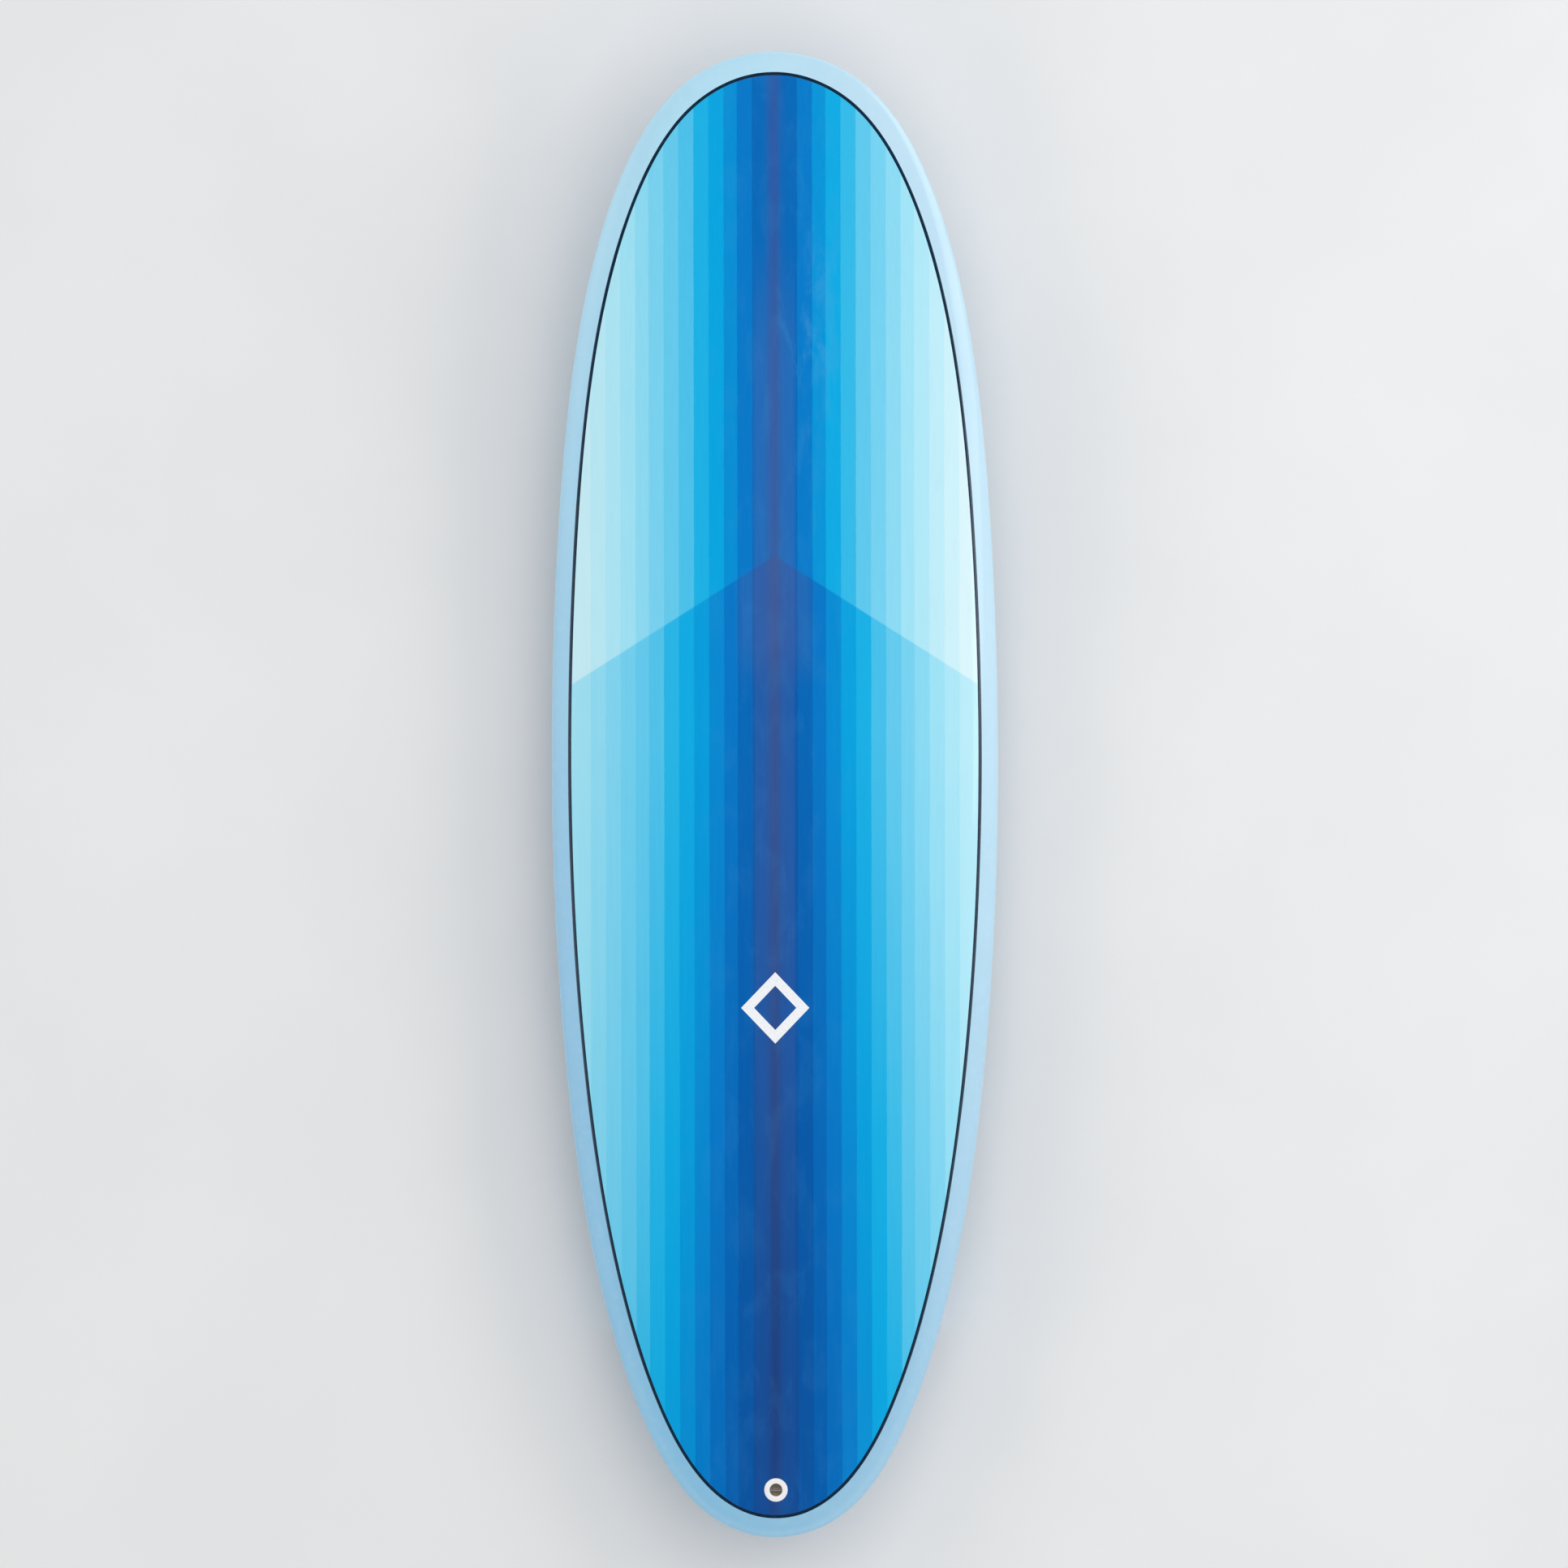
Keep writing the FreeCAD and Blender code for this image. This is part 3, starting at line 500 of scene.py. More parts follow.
def inlay_material():
    m = Mat("striped_cloth_under_resin")
    x, y, z = m.xyz()
    # the threads wander a little, so the stripe edges aren't ruled
    wob = m.noise(9.0, 2.0, 0.5, m.mapped((4.0, 1.0, 1.0)))
    fine = m.noise(520.0, 1.0, 0.5, m.mapped((1.0, 0.25, 1.0)))
    dx = m.math("ADD", m.math("MULTIPLY", m.math("SUBTRACT", wob, 0.5), 0.0008), m.math("MULTIPLY", m.math("SUBTRACT", fine, 0.5), 0.0010))
    xs = m.math("ADD", m.math("ADD", x, 0.00055), dx)      # the cloth lies half a millimetre off the centreline
    f = m.math("DIVIDE", m.math("ADD", m.math("DIVIDE", xs, PITCH * MM), 14.5), 29.0)
    fore = m.ramp(f, stripe_stops("fore"), "CONSTANT")
    a1, a2, a3 = (m.ramp(f, stripe_stops(k), "CONSTANT") for k in ("aft1", "aft2", "aft3"))
    aft = m.mix(m.band(y, 0.079, -0.421, smooth=False), a1, a2)
    aft = m.mix(m.band(y, -0.421, -0.741, smooth=False), aft, a3)
    # chevron: apex on the centreline, its sides fall to the rails
    edge = m.math("ADD", y, m.math("MULTIPLY", m.math("ABSOLUTE", x), 0.632))
    chev = m.band(edge, 0.2935, 0.2965)
    col = m.mix(chev, aft, fore)
    # violet shade of the stringer and its glue through the cloth
    ax = m.math("ABSOLUTE", m.math("ADD", x, 0.0004))
    g1 = m.math("POWER", 2.71828, m.math("MULTIPLY", m.math("POWER", m.math("DIVIDE", ax, 0.0078), 2.0), -1.0))
    shade = m.ramp(m.band(y, -0.9146, 0.9146, smooth=False), [(0.15, scaled(lin("242858"))), (0.55, scaled(lin("404068"))), (0.9, scaled(lin("444080")))])
    col = m.mix(m.math("MULTIPLY", g1, 0.45), col, shade)
    wide = m.math("MULTIPLY", m.band(ax, 0.0285, 0.0215), m.math("MULTIPLY", m.band(y, 0.70, 0.52), m.band(y, -0.72, -0.10, 0.22, 1.0)))
    col = m.mix(m.math("MULTIPLY", wide, 0.085), col, scaled(lin("767cab")))
    # the same shade spreads a stripe further just behind the chevron's point
    spread = m.math("MULTIPLY", m.band(ax, 0.052, 0.036), m.math("MULTIPLY", m.band(y, 0.12, 0.20), m.math("SUBTRACT", 1.0, chev)))
    col = m.mix(m.math("MULTIPLY", spread, 0.06), col, scaled(lin("8488b0")))
    # soft lighter blotches where the resin soaked in unevenly, faint everywhere; right of the middle towards the nose
    # a painted highlight patch strengthens them, a painted sheen of light from the right
    bl = m.noise(26.0, 4.0, 0.6, m.mapped((1.5, 0.6, 1.0)), 0.4)
    bl2 = m.noise(45.0, 3.0, 0.6, m.mapped((1.5, 0.4, 1.0), (0.3, 0.1, 0)))
    mid = m.band(ax, 0.13, 0.03, 0.35, 1.0)
    # painted highlight: a soft round patch right of the middle towards the nose, lighter blue standing in for the
    # sheen of light from the right
    px_ = m.math("POWER", m.math("DIVIDE", m.math("SUBTRACT", x, 0.048), 0.034), 2.0)
    py_ = m.math("POWER", m.math("DIVIDE", m.math("SUBTRACT", y, 0.575), 0.115), 2.0)
    painted_sheen_patch = m.math("POWER", 2.71828, m.math("MULTIPLY", m.math("ADD", px_, py_), -1.0))
    where = m.math("ADD", m.math("MULTIPLY", mid, 0.05), m.math("MULTIPLY", painted_sheen_patch, 0.30))
    col = m.mix(m.math("MULTIPLY", m.band(bl, 0.46, 0.66), where), col, scaled(lin("4aa3dc")))
    dark = m.math("MULTIPLY", m.band(bl2, 0.56, 0.80), mid)
    col = m.mix(m.math("MULTIPLY", dark, 0.09), col, scaled(lin("0a63b5")))
    # lengthwise threads
    th = m.noise(330.0, 1.0, 0.5, m.mapped((1.0, 0.02, 1.0)))
    col = m.mix(m.band(th, 0.35, 0.65, 0.0, 0.05), col, scaled(lin("ffffff")), "SOFT_LIGHT")
    w = m.weave(0.00042)
    col = m.mix(0.04, col, m.ramp(w, [(0.0, [0.35] * 3), (1.0, [0.65] * 3)]), "OVERLAY")
    m.link(col, m.b.inputs["Base Color"])
    m.set(rough=0.45, spec=0.12, coat=1.0, coat_rough=0.035, coat_ior=1.5)
    orange = m.noise(60.0, 2.0, 0.5)
    m.bump(orange, 0.00012, 0.25, coat=True)
    return m.m


# the lap's colour at the tail, the middle and the nose, left and right rail, with painted light in it: the right rail
# and the nose end are painted lighter, as if lit from the right and the nose
RAIL_L = [(0.15, "88c0e0"), (0.40, "90c4e4"), (0.92, "b0dcf0")]
RAIL_R = [(0.10, "9ecce8"), (0.52, "c0e4f6"), (0.92, "c4e6f8")]
RAIL_GAIN = (1.03, 0.95)


def tinted_glass(name, base, edge_dark=0.0, stringer=False, painted_side_light=True):
    m = Mat(name)
    x, y, z = m.xyz()
    cloud = m.noise(11.0, 5.0, 0.55, m.mapped((1.0, 0.6, 1.0)), 0.4)
    fine = m.noise(90.0, 4.0, 0.6)
    under = [0.5 * (a_ + b_) for a_, b_ in zip(scaled(lin(base[0])), scaled(lin(base[1])))]
    # painted side light: upward faces take the left and right tables, the right painted lighter as if lit from that
    # side; downward faces take the mean of the two base colours
    if painted_side_light:
        fy = m.band(y, -0.9146, 0.9146, smooth=False)
        left, right = (m.ramp(fy, [(at, scaled(lin(h), gain)) for at, h in tab])
                       for tab, gain in ((RAIL_L, RAIL_GAIN[0]), (RAIL_R, RAIL_GAIN[1])))
        col = m.mix(m.band(x, -0.15, 0.15), left, right)
        nz = m.xyz(m.node("ShaderNodeNewGeometry").outputs["Normal"])[2]
        col = m.mix(m.band(nz, -0.45, 0.15), under, col)
    else:
        # painted side light: the left half darker, the right half lighter, as if lit from the right
        col = m.mix(m.band(x, -0.26, 0.26), scaled(lin(base[0])), scaled(lin(base[1])))
    col = m.mix(m.band(cloud, 0.35, 0.75, 0.0, 0.10), col, scaled(lin("7fb6dc")))
    col = m.mix(m.band(fine, 0.45, 0.75, 0.0, 0.06), col, scaled(lin("e4f4ff")))
    if stringer:
        ax = m.math("ABSOLUTE", x)
        col = m.mix(m.band(ax, 0.0031, 0.0023, 0.0, 0.26), col, scaled(lin("a8885c")))
        col = m.mix(m.band(ax, 0.008, 0.002, 0.0, 0.10), col, scaled(lin("7f9fb8")))
    w = m.weave(0.0007)
    col = m.mix(0.05, col, m.ramp(w, [(0.0, [0.38] * 3), (1.0, [0.62] * 3)]), "OVERLAY")
    m.link(col, m.b.inputs["Base Color"])
    m.set(rough=0.40, spec=0.15, coat=1.0, coat_rough=0.04, coat_ior=1.5)
    m.bump(m.noise(55.0, 2.0, 0.5), 0.00012, 0.25, coat=True)
    return m.m


def pin_material():
    m = Mat("dark_resin_line")
    n = m.noise(160.0, 4.0, 0.6)
    col = m.mix(m.band(n, 0.3, 0.8), scaled(lin("062238")), scaled(lin("0e314c")))
    m.link(col, m.b.inputs["Base Color"])
    m.set(rough=0.35, spec=0.2, coat=1.0, coat_rough=0.04, coat_ior=1.5)
    m.bump(m.noise(300.0, 2.0, 0.5), 0.0001, 0.2)
    return m.m


def mark_material():
    m = Mat("white_printed_tissue")
    n = m.noise(420.0, 5.0, 0.65)
    big = m.noise(30.0, 2.0, 0.5)
    col = m.mix(m.band(n, 0.35, 0.75), scaled(lin("f6f8fb")), scaled(lin("e9eef4")))
    col = m.mix(m.band(big, 0.45, 0.7, 0.0, 0.10), col, scaled(lin("d5e2ee")))
    m.link(col, m.b.inputs["Base Color"])
    m.set(rough=0.5, spec=0.1, coat=1.0, coat_rough=0.035, coat_ior=1.5)
    m.bump(n, 0.00005, 0.3)
    return m.m


def moulded(name, c0, c1, rough=0.38, well=None):
    """well: (place, radius, top) of a recess whose inside, below the rim, is painted a darker grey-brown"""
    m = Mat(name)
    n = m.noise(900.0, 3.0, 0.55)
    big = m.noise(70.0, 3.0, 0.5)
    col = m.mix(m.band(big, 0.35, 0.7), scaled(lin(c0)), scaled(lin(c1)))
    if well:
        (o, ex, ey, ez), rad, top = well
        x, y, z = m.xyz()
        r = m.math("SQRT", m.math("ADD", m.math("POWER", m.math("SUBTRACT", x, float(o[0]) * MM), 2.0), m.math("POWER", m.math("SUBTRACT", y, float(o[1]) * MM), 2.0)))
        # the inside of the recess below the rim is painted a mottled darker grey-brown
        recess_mottle = m.noise(380.0, 4.0, 0.6)
        low = m.math("MULTIPLY", m.band(r, (rad + 0.35) * MM, rad * MM), m.band(z, float(o[2]) * MM - 0.0004, float(o[2]) * MM - 0.0022))
        col = m.mix(low, col, m.mix(m.band(recess_mottle, 0.35, 0.7), scaled(lin("c3b5a4")), scaled(lin("a5a293"))))
    m.link(col, m.b.inputs["Base Color"])
    m.link(m.band(n, 0.3, 0.7, rough - 0.06, rough + 0.08), m.b.inputs["Roughness"])
    m.set(ior=1.5, spec=0.5)
    m.bump(n, 0.00004, 0.35)
    return m.m


def steel(name, along=(1.0, 14.0, 14.0)):
    m = Mat(name)
    n = m.noise(1400.0, 3.0, 0.6, m.mapped(along))
    col = m.mix(m.band(n, 0.3, 0.7), lin("a9a6a1"), lin("c9c7c3"))
    m.link(col, m.b.inputs["Base Color"])
    m.link(m.band(n, 0.3, 0.7, 0.22, 0.38), m.b.inputs["Roughness"])
    m.set(metal=1.0)
    m.bump(n, 0.00002, 0.4)
    return m.m


def foam_material():
    m = Mat("closed_cell_foam")
    v = m.node("ShaderNodeTexVoronoi")
    v.inputs["Scale"].default_value = 900.0
    m.link(m.co, v.inputs["Vector"])
    col = m.mix(m.band(v.outputs["Distance"], 0.1, 0.6), lin("f3f0e4"), lin("e2dcc8"))
    m.link(col, m.b.inputs["Base Color"])
    m.set(rough=0.85, spec=0.2)
    m.bump(v.outputs["Distance"], 0.0002, 0.5)
    return m.m


def wood_material():
    m = Mat("stringer_wood")
    g = m.noise(180.0, 5.0, 0.6, m.mapped((6.0, 0.25, 3.0)), 0.3)
    col = m.mix(m.band(g, 0.3, 0.7), lin("c9a678"), lin("9a7547"))
    m.link(col, m.b.inputs["Base Color"])
    m.set(rough=0.6)
    m.bump(g, 0.0002, 0.4)
    return m.m


def fin_material():
    """layers of glass cloth ground to the foil, so their edges show as fine contour lines"""
    m = Mat("tinted_layered_glass")
    a = m.node("ShaderNodeAttribute", attribute_name="layer")
    lay = a.outputs["Fac"]
    n = m.noise(35.0, 3.0, 0.5)
    lv = m.math("ADD", lay, m.math("MULTIPLY", m.math("SUBTRACT", n, 0.5), 0.035))
    fr = m.math("FRACT", m.math("MULTIPLY", lv, 15.0))
    line = m.math("MULTIPLY", m.band(fr, 0.0, 0.16), m.band(fr, 0.34, 0.16))
    deep = m.band(lay, 0.0, 1.0, smooth=False)
    col = m.mix(deep, scaled(lin("9fd3ee")), scaled(lin("2c86bd")))
    col = m.mix(m.math("MULTIPLY", line, 0.55), col, scaled(lin("d8effb")))
    w = m.weave(0.0009)
    col = m.mix(0.10, col, m.ramp(w, [(0.0, [0.3] * 3), (1.0, [0.7] * 3)]), "OVERLAY")
    m.link(col, m.b.inputs["Base Color"])
    m.set(rough=0.22, spec=0.45, coat=0.8, coat_rough=0.05, sss=0.12, sss_scale=0.004)
    m.bump(w, 0.00004, 0.25)
    return m.m


M_INLAY = inlay_material()
# each pair is the left and the right colour; on the bottom the right half is painted lighter as if lit from the right,
# and the lap's two are averaged for its downward faces
M_RAIL = tinted_glass("pale_blue_lap", ("93c2e3", "c2e2f8"))
M_BOTTOM = tinted_glass("pale_blue_bottom", ("9ccbe8", "b4dbf3"), stringer=True, painted_side_light=False)
M_PIN = pin_material()
M_MARK = mark_material()
M_BOX = moulded("white_moulded_box", "ecefef", "dfe4e6", 0.42)
M_PINROD = steel("cross_pin_steel", (1.0, 14.0, 14.0))
M_SCREW = steel("set_screw_steel", (9.0, 9.0, 9.0))
M_FOAM = foam_material()
M_WOOD = wood_material()
M_FIN = fin_material()

# ------------------------------------------------------------------ deck cloth with its hole for the leash plug
N = 900
tt = 2 * math.pi * np.arange(N) / N
circle = lambda r, n=96, cx=0.0, cy=PLUG_Y: [(cx + r * math.cos(2 * math.pi * k / n), cy + r * math.sin(2 * math.pi * k / n)) for k in range(n)]


def ccw(poly):
    p = np.asarray(poly, float)
    a = (p[:, 0] * np.roll(p[:, 1], -1) - np.roll(p[:, 0], -1) * p[:, 1]).sum()
    return p if a > 0 else p[::-1]


th_of = np.where(tt <= math.pi, tt, 2 * math.pi - tt)
x, y, _ = outline(tt, pin_inset(th_of) + PIN_W / 2 + 0.03)
plan, tris = cut_sheet(ccw(np.column_stack([x, y])), [circle(PLUG_R + 0.04)], 8.0)
v, f, n = skirted(plan, tris, True, 0.0, 1.0)
deck = new_object("deck_cloth", v, f, n, M_INLAY)
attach(deck, "board")
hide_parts("deck_fabric_inlay")


# ------------------------------------------------------------------ rings that run round the whole board
def ring_object(name, P, mat, flip=False):
    """P: (around, across, 3) in millimetres, closed around"""
    na, nb = P.shape[:2]
    du = np.roll(P, -1, 0) - np.roll(P, 1, 0)
    dv = np.gradient(P, axis=1)
    nr = np.cross(du, dv)
    nr /= np.maximum(np.linalg.norm(nr, axis=-1, keepdims=True), 1e-12)
    if flip:
        nr = -nr
    i, j = np.meshgrid(np.arange(na), np.arange(nb - 1), indexing="ij")
    i2 = (i + 1) % na
    q = np.stack([i * nb + j, i2 * nb + j, i2 * nb + j + 1, i * nb + j + 1], -1).reshape(-1, 4)
    if flip:
        q = q[:, ::-1]
    return P.reshape(-1, 3), q.tolist(), nr.reshape(-1, 3)


def join(parts):
    vs, fs, ns, n0 = [], [], [], 0
    for a, b, c in parts:
        vs.append(np.asarray(a))
        fs += [[i + n0 for i in q] for q in b]
        ns.append(np.asarray(c))
        n0 += len(a)
    return np.vstack(vs), fs, np.vstack(ns)


# pinline: a thin bead of resin, drawn by hand, so its width breathes a little
NP = 1400
tp = 2 * math.pi * np.arange(NP) / NP
thp = np.where(tp <= math.pi, tp, 2 * math.pi - tp)
prof = np.linspace(0.0, 1.0, 13)
breathe = 1.0 + 0.05 * np.sin(23 * tp + 0.7) * np.sin(7 * tp)
P = np.zeros((NP, 15, 3))
for j, s in enumerate([-1, *prof, 2]):
    s2 = min(1.0, max(0.0, s))
    d = pin_inset(thp) + (s2 - 0.5) * PIN_W * breathe
    px, py, _ = outline(tp, d)
    lift = 0.16 * math.sqrt(max(0.0, 1.0 - (2 * s2 - 1) ** 2)) if 0 <= s <= 1 else -0.8
    P[:, j] = np.column_stack([px, py, F(px, py, True) + lift])
v, f, n = ring_object("p", P, None, flip=False)
if n.reshape(NP, 15, 3)[0, 7, 2] < 0:
    v, f, n = ring_object("p", P, None, flip=True)
pin = new_object("pinline_bead", v, f, n, M_PIN)
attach(pin, "board")
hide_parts("pinline")

# rail band: deck side from the pinline out, round the rail, under to 16 mm, then a cut sheet to the lap line
NR = 1200
tr = 2 * math.pi * np.arange(NR) / NR
thr = np.where(tr <= math.pi, tr, 2 * math.pi - tr)
y_of = L * np.cos(thr)
UNDER = 16.0 - 7.6 * np.exp(-((y_of + 606.0) / 45.0) ** 2)      # narrower beside the rear discs of the side fin boxes
cols = []
din = pin_inset(thr) - PIN_W / 2 * 0.96
px, py, _ = outline(tr, din)
cols.append(np.column_stack([px, py, F(px, py, True) - 0.9]))
for j in range(30, -1, -1):
    d = din * (j / 30.0) ** 2
    px, py, _ = outline(tr, d)
    z = z_apex(py) if j == 0 else F(px, py, True)
    cols.append(np.column_stack([px, py, z]))
for j in range(1, 25):
    d = UNDER * (j / 24.0) ** 2
    px, py, _ = outline(tr, d)
    cols.append(np.column_stack([px, py, F(px, py, False)]))
P = np.stack(cols, 1)
a = ring_object("r", P, None)
top_n = a[2].reshape(NR, -1, 3)[0, 5, 2]
if top_n < 0:
    a = ring_object("r", P, None, flip=True)
va, fa, na_ = a
na_ = na_.reshape(NR, -1, 3)
na_[:, 1] = na_[:, 2]      # the skirt's corner keeps the deck's normal
na_[:, 0] = na_[:, 2]
na_ = na_.reshape(-1, 3)
x0, y0, _ = outline(tr, UNDER)
x1, y1, _ = outline(tr, LAP)
ring_out = ccw(np.column_stack([x0, y0]))
lap_in = ccw(np.column_stack([x1, y1]))
plan, tris = cut_sheet(ring_out, [lap_in, BOXES["left"], BOXES["right"]], 5.0)
# only the part outside the lap line and outside the boxes
vb, fb, nb_ = skirted(plan, tris, False, 0.0, 1.0)
rail = new_object("rail_lap_band", *join([(va, fa, na_), (vb, fb, nb_)]), M_RAIL)
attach(rail, "board")
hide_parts("rail_band")

# bottom panel inside the lap line, on the bottom surface at the lap's own height, its edge skirted inwards where it
# meets the lap
xl, yl, _ = outline(tr, LAP + 0.03)
plan, tris = cut_sheet(ccw(np.column_stack([xl, yl])), [BOXES["left"], BOXES["right"], BOXES["center"]], 9.0)
v, f, n = skirted(plan, tris, False, 0.0, 1.0)
bottom = new_object("bottom_skin", v, f, n, M_BOTTOM)
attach(bottom, "board")
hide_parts("bottom_laminate")


# ------------------------------------------------------------------ plain mark on the deck: an open lozenge
def lozenge(cy, hx, hy, k, n=26, m=7):
    P, Q = [], []
    corners = [(0, hy), (hx, 0), (0, -hy), (-hx, 0)]
    ring = []
    for c in range(4):
        a, b = corners[c], corners[(c + 1) % 4]
        for i in range(n):
            s = i / n
            ring.append((a[0] + (b[0] - a[0]) * s, a[1] + (b[1] - a[1]) * s))
    nr = len(ring)
    for j in range(m + 1):
        g = 1.0 - (1.0 - k) * j / m
        for (px_, py_) in ring:
            P.append((px_ * g, cy + py_ * g))
    for j in range(m):
        for i in range(nr):
            i2 = (i + 1) % nr
            Q.append([j * nr + i, j * nr + i2, (j + 1) * nr + i2, (j + 1) * nr + i])
    return np.array(P), Q


pp, qq = lozenge(-262.0, 42.0, 44.0, 0.62)
nm = F_normal(pp[:, 0], pp[:, 1], True)
vv = np.column_stack([pp, F(pp[:, 0], pp[:, 1], True)]) + nm * 0.07
a, b, c = vv[qq[0][0]], vv[qq[0][1]], vv[qq[0][2]]
if np.cross(b - a, c - a)[2] < 0:
    qq = [q[::-1] for q in qq]
mark = new_object("plain_lozenge_mark", vv, qq, nm, M_MARK)
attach(mark, "board")
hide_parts("deck_decal")


# ------------------------------------------------------------------ leash plug cup: turned profile with softened edges
def lathe(name, profile, place, mat, seg=128):
    """profile: closed list of (radius, height)"""
    o, ex, ey, ez = place
    V_, F_, base = [], [], []
    n = len(profile)
    for k in range(seg):
        a = 2 * math.pi * k / seg
        ca, sa = math.cos(a), math.sin(a)
        for r, h in profile:
            V_.append(o + ex * (r * ca) + ey * (r * sa) + ez * h)
    for k in range(seg):
        k2 = (k + 1) % seg
        for j in range(n - 1):
            if profile[j][0] < 1e-6 and profile[j + 1][0] < 1e-6:
                continue
            F_.append([k * n + j, k2 * n + j, k2 * n + j + 1, k * n + j + 1])
    ob = new_object(name, V_, F_, None, mat)
    bm = bmesh.new()
    bm.from_mesh(ob.data)
    bmesh.ops.remove_doubles(bm, verts=bm.verts, dist=2e-6)
    bmesh.ops.dissolve_degenerate(bm, edges=bm.edges, dist=1e-7)
    bmesh.ops.recalc_face_normals(bm, faces=bm.faces)
    bm.to_mesh(ob.data)
    bm.free()
    ob.data.polygons.foreach_set("use_smooth", [True] * len(ob.data.polygons))
    return ob


def rounded(profile, r, steps=5):
    """rounds the corners of an open profile"""
    out = [profile[0]]
    for i in range(1, len(profile) - 1):
        p0, p1, p2 = (np.array(q, float) for q in profile[i - 1:i + 2])
        a, b = p0 - p1, p2 - p1
        la, lb = np.linalg.norm(a), np.linalg.norm(b)
        rr = min(r, 0.45 * la, 0.45 * lb)
        s, e = p1 + a / la * rr, p1 + b / lb * rr
        for k in range(steps + 1):
            t = k / steps
            out.append(tuple((1 - t) ** 2 * s + 2 * t * (1 - t) * p1 + t ** 2 * e))
    out.append(profile[-1])
    return out


zp = float(F(0.0, PLUG_Y, True)) + 0.25
sl = float(F(0.0, PLUG_Y + 2, True) - F(0.0, PLUG_Y - 2, True)) / 4.0
ang = math.atan(sl)
PLUG = (np.array([0.0, PLUG_Y, zp]), np.array([1.0, 0, 0]), np.array([0, math.cos(ang), math.sin(ang)]), np.array([0, -math.sin(ang), math.cos(ang)]))
M_CUP = moulded("white_moulded_cup", "f2f2f4", "ebe9ee", 0.34, (PLUG, 7.8, 0.0))
cup_prof = rounded([(0.0, -14.0), (3.5, -13.5), (6.4, -11.6), (7.8, -9.0), (7.8, -0.75), (8.6, 0.0), (13.8, 0.0), (14.5, -0.5), (14.5, -1.6),
                    (11.5, -2.6), (11.5, -16.0), (10.5, -17.0), (0.0, -17.0)], 0.35)
cup = lathe("leash_cup_moulding", cup_prof, PLUG, M_CUP)
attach(cup, "board")
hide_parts("leash_plug_cup")


# ------------------------------------------------------------------ fins
def fin_outline(t):
    mid = -(14.0 * t + 62.0 * t * t)
    hc = FIN_BASE / 2.0 * (1.0 - 0.55 * t - 0.07 * t * t) * np.sqrt(np.maximum(0.0, 1.0 - t ** 8))
    return mid + hc, mid - hc


def foil(beta):
    q = np.sin(beta / 2.0)
    x = q * q
    return 5.0 * (0.2969 * q - 0.1260 * x - 0.3516 * x ** 2 + 0.2843 * x ** 3 - 0.1015 * x ** 4), x


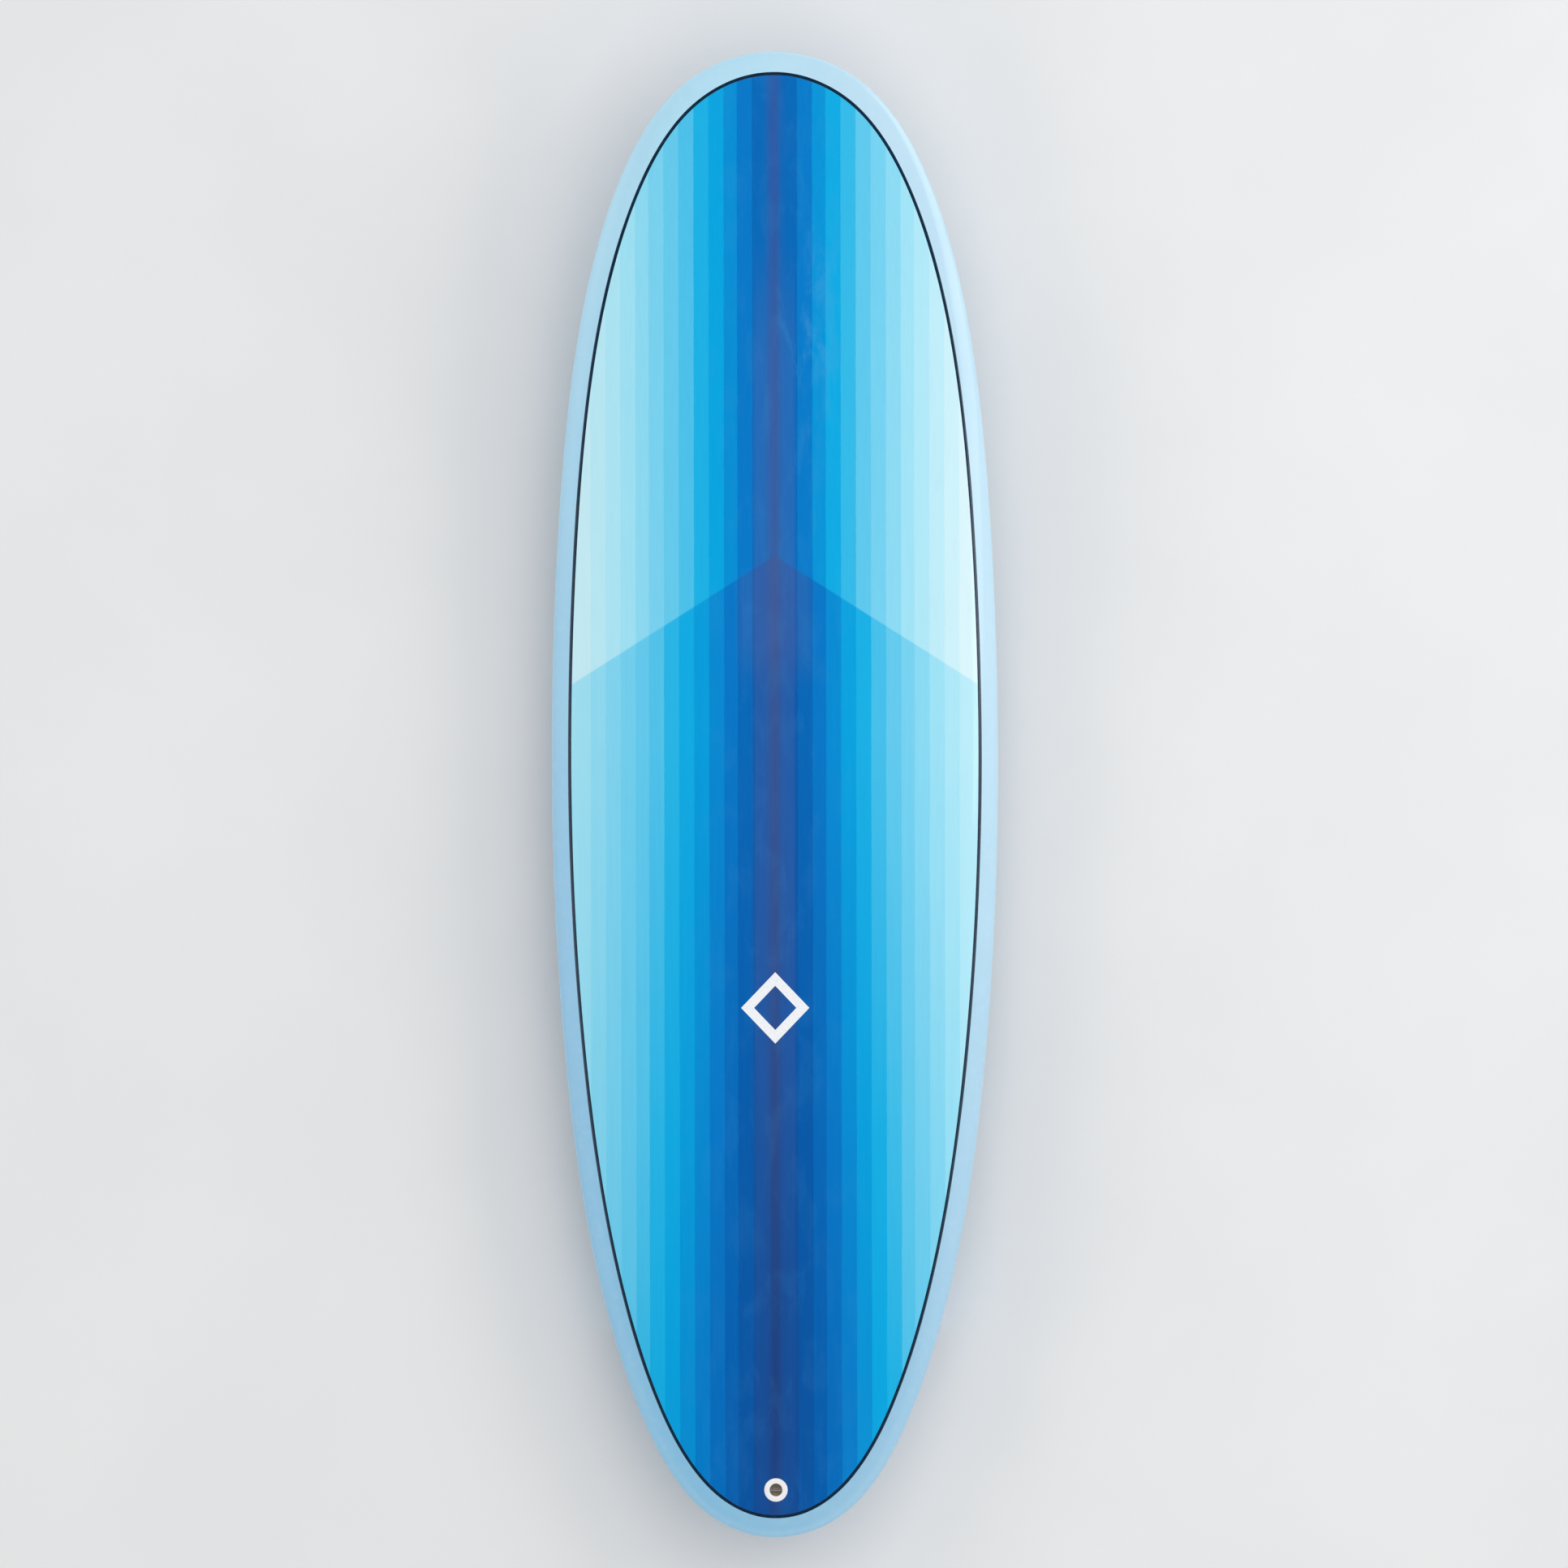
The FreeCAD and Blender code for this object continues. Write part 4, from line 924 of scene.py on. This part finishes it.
def fin_object(name, place, side, node, body):
    o, ex, ey, ez = place
    nu, nv = 72, 44
    phi = np.radians(np.concatenate([np.linspace(0, 80, nu - 12), np.linspace(80, 88, 13)[1:]]))
    t = np.sin(phi)[:, None]
    beta = np.linspace(0, math.pi, nv + 1)[None, :]
    le, te = fin_outline(t)
    f_ = np.sqrt(np.maximum(0.0, 1.0 - t ** 8))
    tk = FIN_THICK * (1.0 - 0.5 * t) * f_
    h, xx = foil(beta)
    ed = 0.40 * xx * f_ * (1.0 - 0.4 * t)
    half = tk * h + ed
    yy = le + (te - le) * xx
    zz = np.broadcast_to(-FIN_GAP - FIN_DEPTH * t, yy.shape)
    if side == 0:
        xa, xb = half, -half
        depth = half / (0.5 * FIN_THICK)
    else:
        flat = np.full_like(half, -TAB_T / 2.0)
        xa, xb = flat + 2.0 * half, flat
        depth = half / (0.5 * FIN_THICK)
    loops = [np.stack([xa, yy, zz], -1), np.stack([xb, yy, zz], -1)[:, ::-1][:, 1:]]
    P = np.concatenate(loops, 1)          # leading edge is shared; the trailing edge is cut square
    D = np.concatenate([depth, depth[:, ::-1][:, 1:]], 1)
    P = P[:, :-1]
    D = D[:, :-1]
    if side == -1:
        P = P * np.array([-1.0, 1, 1])
    nr_, nc = P.shape[:2]
    bm = bmesh.new()
    lay = bm.verts.layers.float.new("layer")
    grid = [[None] * nc for _ in range(nr_)]

    def world(p):
        return (o + ex * p[0] + ey * p[1] + ez * p[2]) * MM
    for i in range(nr_):
        for j in range(nc):
            vtx = bm.verts.new(world(P[i, j]))
            vtx[lay] = float(D[i, j])
            grid[i][j] = vtx
    for i in range(nr_ - 1):
        for j in range(nc):
            j2 = (j + 1) % nc
            bm.faces.new([grid[i][j], grid[i][j2], grid[i + 1][j2], grid[i + 1][j]])
    for i in (0, nr_ - 1):
        bm.faces.new(grid[i])
    bmesh.ops.recalc_face_normals(bm, faces=bm.faces)
    # crisp trailing edge, base and tabs
    for e in bm.edges:
        if len(e.link_faces) == 2 and e.calc_face_angle(0) > math.radians(38):
            e.smooth = False
    # the two tabs, with rounded ends
    for yc in (TAB_Y, -TAB_Y):
        pts, r, ns = [], 2.0, 6
        hl, ht = TAB_L / 2, TAB_T / 2
        prof = []
        for k in range(ns + 1):
            a_ = math.pi / 2 * k / ns
            prof.append((hl - r + r * math.sin(math.pi / 2 - a_) if False else hl - r + r * math.cos(a_), TAB_D - r + r * math.sin(a_)))
        prof = [(hl, -FIN_GAP + 0.02)] + prof
        prof = prof + [(-p[0], p[1]) for p in prof[::-1]]
        c0 = [bm.verts.new(world((ht, yc + p[0], p[1]))) for p in prof]
        c1 = [bm.verts.new(world((-ht, yc + p[0], p[1]))) for p in prof]
        for q in c0 + c1:
            q[lay] = 0.62
        fs = [bm.faces.new(c0), bm.faces.new(c1[::-1])]
        for k in range(len(prof)):
            k2 = (k + 1) % len(prof)
            fs.append(bm.faces.new([c0[k2], c0[k], c1[k], c1[k2]]))
        es = {e for g in fs for e in g.edges}
        bmesh.ops.recalc_face_normals(bm, faces=fs)
        for e in es:
            if len(e.link_faces) == 2 and e.calc_face_angle(0) > math.radians(38):
                e.smooth = False
    me = bpy.data.meshes.new(name)
    bm.to_mesh(me)
    bm.free()
    me.polygons.foreach_set("use_smooth", [True] * len(me.polygons))
    me.materials.append(M_FIN)
    ob = bpy.data.objects.new(name, me)
    bpy.context.scene.collection.objects.link(ob)
    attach(ob, body)
    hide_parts(node)
    return ob


for k, (fr, s) in FRAMES.items():
    fin_object("foiled_fin_" + k, fr, s, "fin_" + k, "fin_" + k)

# ------------------------------------------------------------------ materials on the CAD pieces that stay
for name, ob in frame["nodes"].items():
    mat = None
    if name.startswith("foam_core"):
        mat = M_FOAM
    elif name == "stringer":
        mat = M_WOOD
    elif name.startswith("fin_box"):
        mat = M_BOX
    elif name.startswith("grub"):
        mat = M_SCREW
    elif name == "leash_plug_pin":
        mat = M_PINROD
    if mat:
        ob.data.materials.clear()
        ob.data.materials.append(mat)

# ------------------------------------------------------------------ floor, light, camera
floor_z = CAD_BOX[0][2] - 0.0005
bm = bmesh.new()
S, K = 30.0, 24
gv = [[bm.verts.new((-S + 2 * S * i / K, -S + 2 * S * j / K, floor_z)) for j in range(K + 1)] for i in range(K + 1)]
for i in range(K):
    for j in range(K):
        bm.faces.new([gv[i][j], gv[i + 1][j], gv[i + 1][j + 1], gv[i][j + 1]])
me = bpy.data.meshes.new("floor")
bm.to_mesh(me)
bm.free()
floor = bpy.data.objects.new("floor", me)
bpy.context.scene.collection.objects.link(floor)
fm = Mat("pale_floor")
fn = fm.noise(3.0, 3.0, 0.5)
fm.link(fm.mix(fm.band(fn, 0.3, 0.7), [0.80, 0.81, 0.82], [0.83, 0.835, 0.84]), fm.b.inputs["Base Color"])
fm.set(rough=0.9, spec=0.1)
me.materials.append(fm.m)

world = bpy.data.worlds.new("studio")
bpy.context.scene.world = world
world.use_nodes = True
wt = world.node_tree
wt.nodes.clear()
wo = wt.nodes.new("ShaderNodeOutputWorld")
bg = wt.nodes.new("ShaderNodeBackground")
tc = wt.nodes.new("ShaderNodeTexCoord")
sep = wt.nodes.new("ShaderNodeSeparateXYZ")
mr = wt.nodes.new("ShaderNodeMapRange")
mr.interpolation_type = "SMOOTHSTEP"
wt.links.new(tc.outputs["Generated"], sep.inputs[0])
wt.links.new(sep.outputs[2], mr.inputs[0])
mr.inputs[1].default_value = 0.62
mr.inputs[2].default_value = 0.90
mr.inputs[3].default_value = 1.0
mr.inputs[4].default_value = 0.0
wt.links.new(mr.outputs[0], bg.inputs["Strength"])
bg.inputs["Color"].default_value = (1.0, 1.0, 1.0, 1.0)
wt.links.new(bg.outputs[0], wo.inputs[0])


def area(name, loc, target, size, power, size_y=None, glossy=True):
    li = bpy.data.lights.new(name, "AREA")
    li.shape = "RECTANGLE"
    li.size = size
    li.size_y = size_y or size
    li.energy = power
    ob = bpy.data.objects.new(name, li)
    ob.location = loc
    d = Vector(target) - Vector(loc)
    ob.rotation_euler = d.to_track_quat("-Z", "Y").to_euler()
    bpy.context.scene.collection.objects.link(ob)
    ob.visible_glossy = glossy
    return ob


area("overhead_soft", (0.4, 0.5, 5.0), (0, 0, 0), 4.0, 112.0, glossy=False)
area("side_soft", (3.6, 1.2, 2.6), (0, 0, 0), 2.2, 30.0, 3.0)

cam_d = bpy.data.cameras.new("camera")
cam = bpy.data.objects.new("camera", cam_d)
bpy.context.scene.collection.objects.link(cam)
bpy.context.scene.camera = cam
cam_d.sensor_width = 36.0
cam_d.sensor_height = 36.0
cam_d.sensor_fit = "HORIZONTAL"
cam_d.lens = 800.0
cam_d.clip_end = 200.0
REF_Z = 0.06
dist = 1.932 * cam_d.lens / 36.0
cam.location = (0.0112, 0.0138, REF_Z + dist)
cam.rotation_euler = (0.0, 0.0, -math.radians(0.083))
cam_d.dof.use_dof = False

bpy.context.scene.view_settings.view_transform = "Standard"
bpy.context.scene.view_settings.look = "None"
bpy.context.scene.view_settings.exposure = 0.0
bpy.context.scene.view_settings.gamma = 1.0
